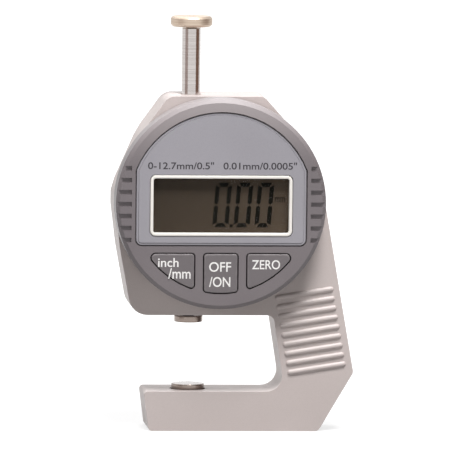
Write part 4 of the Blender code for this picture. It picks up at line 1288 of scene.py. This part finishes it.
@dataclass
class DialHousing:
    """The round housing and the face plate that is let into it."""

    finishes: Finishes
    dial: DialPlaces
    plate_margin: float = 2.9 * MM
    side_margin: float = 4.25 * MM
    drop: float = 8.55 * MM
    corner: float = 1.2 * MM
    ledge: float = 0.42 * MM
    ledge_depth: float = 0.12 * MM
    groove: float = 0.08 * MM
    plate_edge: float = 0.08 * MM
    flat_run: float = 0.3 * MM
    ray_count: int = 361
    opening_half_width: float = 14.95 * MM
    opening_half_height: float = 6.45 * MM
    opening_corner: float = 1.15 * MM

    def build(self) -> None:
        """Builds the housing and the plate."""
        cup = welded_copy("dial_housing", "dial_cup", 0.0, dissolve=False)
        place_piece(cup, "gauge_body", "housing_grey", self.finishes.housing, "dial_housing")
        place_piece(self.plate(), "gauge_body", "plate_grey", self.finishes.plate, "face_plate")

    def outline(self, grow: float) -> np.ndarray:
        """The plate's outline about the dial: an arc above, upright sides and a level, rounded foot.

        Args:
            grow: How far outside the plate's own edge it runs.

        Returns:
            Points (x, z).
        """
        orbit = self.dial.radius - self.plate_margin + grow
        side = self.dial.radius - self.side_margin + grow
        start = math.acos(side / orbit)
        bend = self.corner + grow
        foot = self.drop + grow
        return np.concatenate(
            [
                arc(orbit, start, math.pi - start, 0, 0, 120),
                arc(bend, 2 * QUARTER, 3 * QUARTER, bend - side, bend - foot, 10),
                arc(bend, 3 * QUARTER, 4 * QUARTER, side - bend, bend - foot, 10),
            ]
        )

    def plate(self) -> bpy.types.Object:
        """The face plate: bands between its opening and its outline, the outermost a lower ledge.

        Each ring is the opening's or the outline's loop, met by the same rays from the centre, at
        its own inset and depth.

        Returns:
            The piece.
        """
        low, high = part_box("face_plate")
        hole = rounded_rectangle(
            self.opening_half_width, self.opening_half_height, self.opening_corner
        )
        hole[:, 1] += self.dial.display_z - self.dial.z
        rim = self.outline(0)
        corners = np.concatenate([hole, rim])
        even = np.linspace(-math.pi, math.pi, self.ray_count)
        angles = np.concatenate([np.arctan2(corners[:, 1], corners[:, 0]), even])
        angles = np.unique(np.round(angles, 5))
        angles = angles[:-1] if angles[-1] - angles[0] > 2 * math.pi - 1e-4 else angles
        front, back = low.y, high.y
        step = self.ledge
        bands = (
            (hole, back, 0.0),
            (hole, front + self.plate_edge, 0.6),
            (hole * (1 + self.plate_edge / self.opening_half_width), front, 0.4),
            (self.outline(-step - self.groove - self.flat_run), front, 0.0),
            (self.outline(-step - self.groove), front, 0.5),
            (self.outline(-step - self.groove / 2), front + self.ledge_depth + self.groove, 0.0),
            (self.outline(-step), front + self.ledge_depth, 0.3),
            (self.outline(-self.plate_edge), front + self.ledge_depth, 0.3),
            (rim, front + self.ledge_depth + self.plate_edge, 0.6),
            (rim, back, 0.0),
        )
        rings = np.stack(
            [
                upright(polar_loop(loop, angles), depth, self.dial.x, self.dial.z)
                for loop, depth, _ in bands
            ]
        )
        edge = np.array([value for _, _, value in bands])
        return looped(rings, edge).as_object("dial_plate")


@dataclass
class Display:
    """The white surround, the clear pane, the panel and what it shows."""

    finishes: Finishes
    dial: DialPlaces
    window_half_width: float = 14.2 * MM
    window_half_height: float = 5.7 * MM
    window_corner: float = 0.5 * MM
    band: float = 0.65 * MM
    seat: float = 0.6 * MM
    flange: float = 1.3 * MM
    lip: float = 0.5 * MM
    bead: float = 0.16 * MM
    digit_width: float = 3.4 * MM
    digit_height: float = 9.35 * MM
    digit_lean: float = 0.08
    stroke: float = 0.9 * MM
    gap: float = 0.09 * MM
    chamfer: float = 0.42 * MM
    notch_share: float = 0.35
    bead_share: float = 0.3
    digit_foot: float = -4.9 * MM
    digit_starts: tuple[float, ...] = (-1.78 * MM, 2.67 * MM, 7.06 * MM)
    digit_depth: float = 0.03 * MM
    point_half: float = 0.31 * MM
    point_across: float = 2.2 * MM
    unit_across: float = 12.4 * MM
    unit_up: float = 0.9 * MM
    unit_width: float = 2.1 * MM
    unit_height: float = 1.1 * MM

    def build(self) -> None:
        """Builds the surround and what the panel shows."""
        place_piece(self.surround(), "gauge_body", "trim_white", self.finishes.white, "display_trim")
        place_piece(self.digits(), "gauge_body", "lcd", self.finishes.crystal)
        low, _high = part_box("lcd_panel")
        unit = lettering(
            "unit_mark",
            "mm",
            (self.dial.x + self.unit_across, low.y, self.dial.z + self.unit_up),
            self.unit_width,
            self.unit_height,
        )
        place_piece(unit, "gauge_body", "lcd", self.finishes.crystal)

    def surround(self) -> bpy.types.Object:
        """The surround: its section carried round the window, each corner grown by the same amount.

        Returns:
            The piece.
        """
        low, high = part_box("display_trim")
        plate_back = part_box("face_plate")[1].y
        flange_front = plate_back + SEAT_GAP
        seat_front = flange_front + self.lip
        turn = self.bead * self.bead_share
        section = (
            (0.0, seat_front, 0.0),
            (0.0, low.y + self.bead, 0.4),
            (turn, low.y + turn, 0.6),
            (self.bead, low.y, 0.3),
            (self.band - self.bead, low.y, 0.3),
            (self.band - turn, low.y + turn, 0.6),
            (self.band, low.y + self.bead, 0.4),
            (self.band, flange_front, 0.0),
            (self.flange, flange_front, 0.0),
            (self.flange, high.y, 0.0),
            (self.seat, high.y, 0.0),
            (self.seat, seat_front, 0.0),
        )
        rings = np.stack(
            [
                upright(
                    rounded_rectangle(
                        self.window_half_width + grow,
                        self.window_half_height + grow,
                        self.window_corner + grow,
                    ),
                    depth,
                    self.dial.x,
                    self.dial.display_z,
                )
                for grow, depth, _ in section
            ]
        )
        edge = np.array([value for _, _, value in section])
        return looped(rings, edge).as_object("window_surround")

    def segments(self) -> list[np.ndarray]:
        """The six lit segments of a nought, as mitred outlines about the digit's foot.

        Returns:
            Outlines (x, z), each run anticlockwise.
        """
        wide, tall, thick = self.digit_width, self.digit_height, self.stroke
        gap, cut = self.gap, self.chamfer
        middle = tall / 2 + gap
        top = np.array(
            [
                (cut + gap, tall),
                (thick + gap, tall - thick),
                (wide - thick - gap, tall - thick),
                (wide - cut - gap, tall),
            ]
        )
        side = np.array(
            [
                (0, tall - cut - gap),
                (0, middle + thick * self.notch_share),
                (thick / 2, middle),
                (thick, middle + thick * self.notch_share),
                (thick, tall - thick - gap),
            ]
        )
        flip_up = np.array([1, -1])
        flip_across = np.array([-1, 1])
        across = np.array([wide, 0])
        up = np.array([0, tall])
        return [
            top,
            (top * flip_up + up)[::-1],
            side,
            (side * flip_up + up)[::-1],
            (side * flip_across + across)[::-1],
            (side * flip_up * flip_across + up + across)[::-1],
        ]

    def digits(self) -> bpy.types.Object:
        """Three leaning noughts and their point, as thin plates on the panel's front.

        Each outline point moves right by its height times the lean.

        Returns:
            The piece.
        """
        low, _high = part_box("lcd_panel")
        base, thick, side = self.digit_foot, self.digit_depth, self.point_half
        shell: Shell | None = None
        outlines = [
            outline + np.array([start, base])
            for start in self.digit_starts
            for outline in self.segments()
        ]
        point = np.array([(-side, -side), (side, -side), (side, side), (-side, side)])
        outlines.append(point + np.array([self.point_across, base + side]))
        for outline in outlines:
            lean = outline.copy()
            lean[:, 0] += (outline[:, 1] - base) * self.digit_lean
            rings = np.stack(
                [
                    upright(lean, low.y - thick, self.dial.x, self.dial.z),
                    upright(lean, low.y + thick, self.dial.x, self.dial.z),
                ]
            )
            part = stacked(rings)
            shell = part if shell is None else shell.joined(part)
        return shell.as_object("display_digits")


@dataclass
class KeyRow:
    """The three push keys under the display, with their legends."""

    finishes: Finishes
    dial: DialPlaces
    top: float = -10.35 * MM
    orbit_margin: float = 3.45 * MM
    power_half_width: float = 3.5 * MM
    spacing: float = 2.05 * MM
    corner: float = 0.6 * MM
    tip_radius: float = 0.9 * MM
    lap: float = 0.8 * MM
    flange: float = 0.6 * MM
    stem_radius: float = 1.2 * MM
    stem_gap: float = 0.2 * MM
    brow: float = 0.3 * MM
    brow_shares: tuple[tuple[float, float], ...] = ((0.4, 0.12), (0.1, 0.42))
    face_inset: float = 0.42 * MM
    flange_depth: float = 2.3 * MM

    def build(self) -> None:
        """Builds the three caps and their legends, each on its own body."""
        jobs: tuple[tuple[str, Callable[[float], np.ndarray]], ...] = (
            ("units", lambda grow: self.side_outline(grow, Side.LEFT)),
            ("power", self.power_outline),
            ("zero", lambda grow: self.side_outline(grow, Side.RIGHT)),
        )
        for name, outline in jobs:
            cap = self.cap(name, outline)
            place_piece(cap, f"{name}_key", "key_grey", self.finishes.keys, f"key_{name}")
        legends = (
            ("units", "legend_units_upper", "inch", -11.0, -12.15, 4.3, 1.9),
            ("units", "legend_units_lower", "/mm", -8.65, -14.45, 4.7, 2.2),
            ("power", "legend_power_upper", "OFF", -0.15, -13.05, 4.6, 2.05),
            ("power", "legend_power_lower", "/ON", -0.2, -16.2, 4.45, 2.1),
            ("zero", "legend_zero", "ZERO", 9.45, -12.55, 5.9, 1.95),
        )
        for key, name, words, across, up, width, height in legends:
            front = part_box(f"key_{key}")[0].y
            centre = (self.dial.x + across * MM, front, self.dial.z + up * MM)
            legend = lettering(name, words, centre, width * MM, height * MM)
            place_piece(legend, f"{key}_key", "key_grey", self.finishes.white_ink)

    def side_outline(self, grow: float, side: Side) -> np.ndarray:
        """A side key about the dial: level top, upright inner side and an arc along the rim.

        The tip's and the foot's arcs lie inside the rim's arc and touch it, so their centres are
        at the orbit less their radius from the dial's centre.

        Args:
            grow: How far outside the key's own edge it runs.
            side: Which side of the dial.

        Returns:
            Points (x, z), run anticlockwise seen from the front.
        """
        orbit = self.dial.radius - self.orbit_margin
        inner = self.power_half_width + self.spacing
        tip_z = self.top - self.tip_radius
        tip_x = math.sqrt((orbit - self.tip_radius) ** 2 - tip_z**2)
        foot_x = inner + self.corner
        foot_z = -math.sqrt((orbit - self.corner) ** 2 - foot_x**2)
        tip_turn = math.atan2(tip_z, tip_x)
        foot_turn = math.atan2(foot_z, foot_x)
        bend = self.corner + grow
        points = np.concatenate(
            [
                arc(bend, math.pi, QUARTER, inner + self.corner, self.top - self.corner, 8),
                arc(self.tip_radius + grow, QUARTER, tip_turn, tip_x, tip_z, 14),
                arc(orbit + grow, tip_turn, foot_turn, 0, 0, 24)[1:-1],
                arc(bend, foot_turn, -math.pi, foot_x, foot_z, 14),
            ]
        )
        if side is Side.LEFT:
            return points * np.array([-1, 1])
        return points[::-1]

    def power_outline(self, grow: float) -> np.ndarray:
        """The middle key about the dial: level top, upright sides and an arc along the rim.

        Args:
            grow: How far outside the key's own edge it runs.

        Returns:
            Points (x, z), run anticlockwise seen from the front.
        """
        orbit = self.dial.radius - self.orbit_margin
        half = self.power_half_width
        foot_x = half - self.corner
        foot_z = -math.sqrt((orbit - self.corner) ** 2 - foot_x**2)
        turn = math.atan2(foot_z, foot_x)
        bend = self.corner + grow
        return np.concatenate(
            [
                arc(bend, 0, QUARTER, foot_x, self.top - self.corner, 8),
                arc(bend, QUARTER, 2 * QUARTER, -foot_x, self.top - self.corner, 8),
                arc(bend, -2 * QUARTER, -math.pi - turn, -foot_x, foot_z, 8),
                arc(orbit + grow, -math.pi - turn, turn, 0, 0, 12)[1:-1],
                arc(bend, turn, 0, foot_x, foot_z, 8),
            ]
        )

    def cap(self, name: str, outline: Callable[[float], np.ndarray]) -> bpy.types.Object:
        """A key: its outline at several insets and depths, with a flange and a stem behind.

        Args:
            name: The key's name.
            outline: Gives the outline for an amount of growth.

        Returns:
            The piece.
        """
        low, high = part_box(f"key_{name}")
        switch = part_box(f"switch_{name}")
        flange_front = self.dial.front + self.flange_depth
        curve = [
            (-self.brow * inset, low.y + self.brow * depth, 1.0)
            for inset, depth in self.brow_shares
        ]
        bands = (
            (-self.face_inset, low.y, 0.0),
            (-self.brow, low.y, 0.5),
            *curve,
            (0.0, low.y + self.brow, 0.4),
            (0.0, flange_front, 0.0),
            (self.lap, flange_front, 0.0),
            (self.lap, flange_front + self.flange, 0.0),
        )
        rings = np.stack(
            [upright(outline(grow), depth, self.dial.x, self.dial.z) for grow, depth, _ in bands]
        )
        shell = stacked(rings, np.array([value for _, _, value in bands]))
        middle = (switch[0] + switch[1]) / 2
        stem_front = flange_front + self.stem_gap
        stem = np.array(
            [(0, stem_front), (self.stem_radius, stem_front), (self.stem_radius, high.y), (0, high.y)]
        )
        shell = shell.joined(turned(stem, (middle.x, 0, middle.z), Axis.DEPTH, 32))
        return shell.as_object(f"cap_{name}")


@dataclass
class FaceLettering:
    """The range and the resolution printed on the face plate."""

    finishes: Finishes
    dial: DialPlaces
    height: float = 1.5 * MM
    level: float = 8.08 * MM
    rise: float = 0.015 * MM

    def build(self) -> None:
        """Prints both lines on the plate."""
        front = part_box("face_plate")[0].y
        jobs = (
            ("range_words", '0-12.7mm/0.5"', -8.53 * MM, 13.8 * MM),
            ("resolution_words", '0.01mm/0.0005"', 8.04 * MM, 15.4 * MM),
        )
        for name, words, across, width in jobs:
            centre = (self.dial.x + across, front, self.dial.z + self.level)
            piece = lettering(name, words, centre, width, self.height, self.rise)
            place_piece(piece, "gauge_body", "plate_grey", self.finishes.dark_ink)


@dataclass
class InnerParts:
    """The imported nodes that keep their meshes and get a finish."""

    finishes: Finishes

    def build(self) -> None:
        """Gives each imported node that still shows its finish."""
        finish = self.finishes
        table = {
            finish.brass: (
                "upper_guide_bush", "lower_guide_bush", "negative_contact", "positive_contact",
            ),
            finish.fixing: (
                "guide_pin", "carrier_clamp_screw", "brake_leaf", "brake_screw", "button_cell",
                "board_screw_1", "board_screw_2", "board_screw_3",
                "housing_screw_1", "housing_screw_2", "housing_screw_3", "housing_screw_4",
            ),
            finish.black: (
                "scale_carrier", "controller_chip", "switch_units", "switch_power", "switch_zero",
                "battery_holder",
            ),
            finish.laminate: ("circuit_board", "scale_strip"),
            finish.rubber: ("upper_strip_connector", "lower_strip_connector"),
            finish.glass: ("display_pane",),
            finish.panel: ("lcd_panel",),
            finish.cap: ("battery_cap",),
        }
        for material, names in table.items():
            for name in names:
                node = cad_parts[name]
                node.data.materials.clear()
                node.data.materials.append(material)
                LOG.info("%s in %s", name, material.name)


# Studio and camera


@dataclass
class Studio:
    """Pale floor, soft lamps and a white surrounding that metal and glass also show.

    Lamps are (name, place, side, watts), and cards are (name, first and last bearing, colour)."""

    floor_half: float = 1.6
    glow: float = 0.72
    clear_from: float = 0.08
    clear_by: float = 0.3
    floor_colour: Colour = (0.26, 0.26, 0.26, 1.0)
    floor_roughness: float = 0.7
    ambient_colour: Colour = (1.0, 0.985, 0.97, 1.0)
    ambient: float = 0.13
    target: tuple[float, float, float] = (0.008, 0, 0.045)
    card_radius: float = 0.42
    card_foot: float = -0.02
    card_top: float = 0.34
    card_steps: int = 12
    lamps: tuple[tuple[str, tuple[float, float, float], float, float], ...] = (
        ("key_lamp", (0.1, -0.36, 0.74), 0.26, 9.6),
        ("fill_lamp", (-0.7, -0.35, 0.3), 0.6, 1.3),
        ("back_lamp", (-0.1, 0.4, 0.7), 0.6, 3.0),
    )
    cards: tuple[tuple[str, float, float, Colour], ...] = (
        ("left_card", -84.0, -44.0, tone(180, 165, 160)),
        ("right_card", 56.0, 106.0, tone(132, 104, 90)),
    )

    def build(self) -> None:
        """Builds the floor, the world, the lamps and the reflection cards."""
        self.floor()
        self.world()
        for lamp in self.lamps:
            self.lamp(*lamp)
        for card in self.cards:
            self.card(*card)

    @staticmethod
    def shown(graph: Graph) -> bpy.types.NodeSocket:
        """Says 1 for what the eye, a mirror or a pane sees, and 0 for light on a matt surface.

        Args:
            graph: The graph that asks.

        Returns:
            The value.
        """
        path = graph.add("ShaderNodeLightPath")
        seen = graph.maths("MAXIMUM", path.outputs["Is Camera Ray"], path.outputs["Is Glossy Ray"])
        return graph.maths("MAXIMUM", seen, path.outputs["Is Transmission Ray"])

    def floor(self) -> None:
        """Makes the floor, whose own glow is seen by the camera and in reflections only.

        The glow grows to full white away from the gauge, so that the lamps' reach has no edge."""
        half = self.floor_half
        mesh = bpy.data.meshes.new("floor")
        corners = [(-half, -half, 0), (half, -half, 0), (half, half, 0), (-half, half, 0)]
        mesh.from_pydata(corners, [], [(0, 1, 2, 3)])
        obj = bpy.data.objects.new("floor", mesh)
        bpy.context.scene.collection.objects.link(obj)
        material = bpy.data.materials.new("floor_white")
        material.use_nodes = True
        graph = Graph(material.node_tree)
        shader = material.node_tree.nodes["Principled BSDF"]
        shader.inputs["Base Color"].default_value = self.floor_colour
        shader.inputs["Roughness"].default_value = self.floor_roughness
        shader.inputs["Emission Color"].default_value = (1, 1, 1, 1)
        place = graph.add("ShaderNodeTexCoord")
        reach = graph.add("ShaderNodeVectorMath", {"operation": "LENGTH"})
        graph.feed(reach, "#0", place.outputs["Object"])
        share = graph.span(reach.outputs["Value"], self.clear_from, self.clear_by, smooth=True)
        rise = graph.maths("MULTIPLY_ADD", share, 1.0 - self.glow, self.glow)
        graph.feed(shader, "Emission Strength", graph.maths("MULTIPLY", self.shown(graph), rise))
        mesh.materials.append(material)

    def world(self) -> None:
        """Makes the surrounding: white to the eye and in reflections, a soft grey as light."""
        world = bpy.data.worlds.new("studio")
        bpy.context.scene.world = world
        world.use_nodes = True
        graph = Graph(world.node_tree)
        plain = world.node_tree.nodes["Background"]
        plain.inputs["Color"].default_value = self.ambient_colour
        plain.inputs["Strength"].default_value = self.ambient
        white = graph.add("ShaderNodeBackground")
        white.inputs["Color"].default_value = (1, 1, 1, 1)
        white.inputs["Strength"].default_value = 1.0
        mix = graph.add("ShaderNodeMixShader")
        graph.feed(mix, "#0", self.shown(graph))
        graph.feed(mix, "#1", plain.outputs[0])
        graph.feed(mix, "#2", white.outputs[0])
        graph.feed(world.node_tree.nodes["World Output"], "Surface", mix.outputs[0])

    def lamp(self, name: str, place: tuple[float, float, float], size: float, power: float) -> None:
        """Makes a soft square lamp that looks at the gauge.

        Args:
            name: The lamp's name.
            place: Where it stands.
            size: Its side.
            power: Its power in watts.
        """
        light = bpy.data.lights.new(name, "AREA")
        light.shape = "SQUARE"
        light.size = size
        light.energy = power
        obj = bpy.data.objects.new(name, light)
        target = Vector(self.target)
        obj.location = place
        obj.rotation_mode = "QUATERNION"
        obj.rotation_quaternion = (target - Vector(place)).to_track_quat("-Z", "Y")
        bpy.context.scene.collection.objects.link(obj)

    def card(self, name: str, start: float, end: float, colour: Colour) -> None:
        """Makes a curved card round the gauge that only reflections show.

        Its points are the radius times the sine and cosine of the bearing, from foot to top.

        Args:
            name: The card's name.
            start: First bearing in degrees, 0 towards the camera's side and 90 to the right.
            end: Last bearing.
            colour: Its colour.
        """
        turn = np.radians(np.linspace(start, end, self.card_steps + 1))
        level = np.array([self.card_foot, self.card_top])
        radius = self.card_radius
        around, up = np.meshgrid(turn, level, indexing="ij")
        rings = np.stack([radius * np.sin(around), -radius * np.cos(around), up], axis=2)
        points = rings.reshape(-1, 3)
        cell = np.arange(self.card_steps) * 2
        faces = np.stack([cell, cell + 2, cell + 3, cell + 1], axis=1)
        mesh = bpy.data.meshes.new(name)
        mesh.from_pydata(points.tolist(), [], faces.tolist())
        obj = bpy.data.objects.new(name, mesh)
        bpy.context.scene.collection.objects.link(obj)
        material = bpy.data.materials.new(name)
        material.use_nodes = True
        material.node_tree.nodes.clear()
        graph = Graph(material.node_tree)
        glow = graph.add("ShaderNodeEmission", Color=colour, Strength=1.0)
        graph.feed(graph.add("ShaderNodeOutputMaterial"), "Surface", glow.outputs[0])
        mesh.materials.append(material)
        obj.visible_camera = False
        obj.visible_diffuse = False
        obj.visible_transmission = False
        obj.visible_shadow = False


@dataclass
class Camera:
    """The photograph's view: where it looks from, how it is rolled and what it aims at."""

    azimuth: float = -5.0
    elevation: float = 5.21
    roll: float = 0.652
    distance: float = 2.076
    pixels_per_metre: float = 4763.8
    image: float = 450.0
    sensor: float = 36.0
    near: float = 0.05
    far: float = 20.0
    centre: tuple[float, float, float] = (0.008, 0.0, 0.043)
    seen_at: tuple[float, float] = (227.33, 223.79)

    def build(self) -> None:
        """Makes the camera. It aims at the point that the photograph's middle shows, so that no
        shift is needed; its lens gives the measured pixels for each metre at that distance."""
        azimuth = math.radians(self.azimuth)
        elevation = math.radians(self.elevation)
        roll = math.radians(self.roll)
        back = Vector(
            (
                math.sin(azimuth) * math.cos(elevation),
                -math.cos(azimuth) * math.cos(elevation),
                math.sin(elevation),
            )
        )
        level = Vector((math.cos(azimuth), math.sin(azimuth), 0))
        rise = back.cross(level)
        right = math.cos(roll) * level + math.sin(roll) * rise
        up = math.cos(roll) * rise - math.sin(roll) * level
        half = self.image / 2
        aim = Vector(self.centre)
        aim += right * ((half - self.seen_at[0]) / self.pixels_per_metre)
        aim += up * ((self.seen_at[1] - half) / self.pixels_per_metre)
        data = bpy.data.cameras.new("camera")
        data.sensor_width = self.sensor
        data.lens = self.pixels_per_metre * self.distance / self.image * data.sensor_width
        data.clip_start = self.near
        data.clip_end = self.far
        obj = bpy.data.objects.new("camera", data)
        obj.matrix_world = Matrix.Translation(aim + back * self.distance) @ Matrix(
            ((right.x, up.x, back.x), (right.y, up.y, back.y), (right.z, up.z, back.z))
        ).to_4x4()
        bpy.context.scene.collection.objects.link(obj)
        bpy.context.scene.camera = obj


def main() -> None:
    """Builds each sub-assembly in order, then the studio and the camera."""
    logging.basicConfig(level=logging.INFO, format="%(name)s: %(message)s")
    bpy.context.scene.view_settings.view_transform = "Standard"
    dial = DialPlaces.measured()
    finishes = Finishes(dial)
    for assembly in (
        SpindleUnit(finishes),
        CastBody(finishes),
        DialHousing(finishes, dial),
        Display(finishes, dial),
        KeyRow(finishes, dial),
        FaceLettering(finishes, dial),
        InnerParts(finishes),
        Studio(),
        Camera(),
    ):
        assembly.build()
        LOG.info("%s built", type(assembly).__name__)


if __name__ == "__main__":
    main()
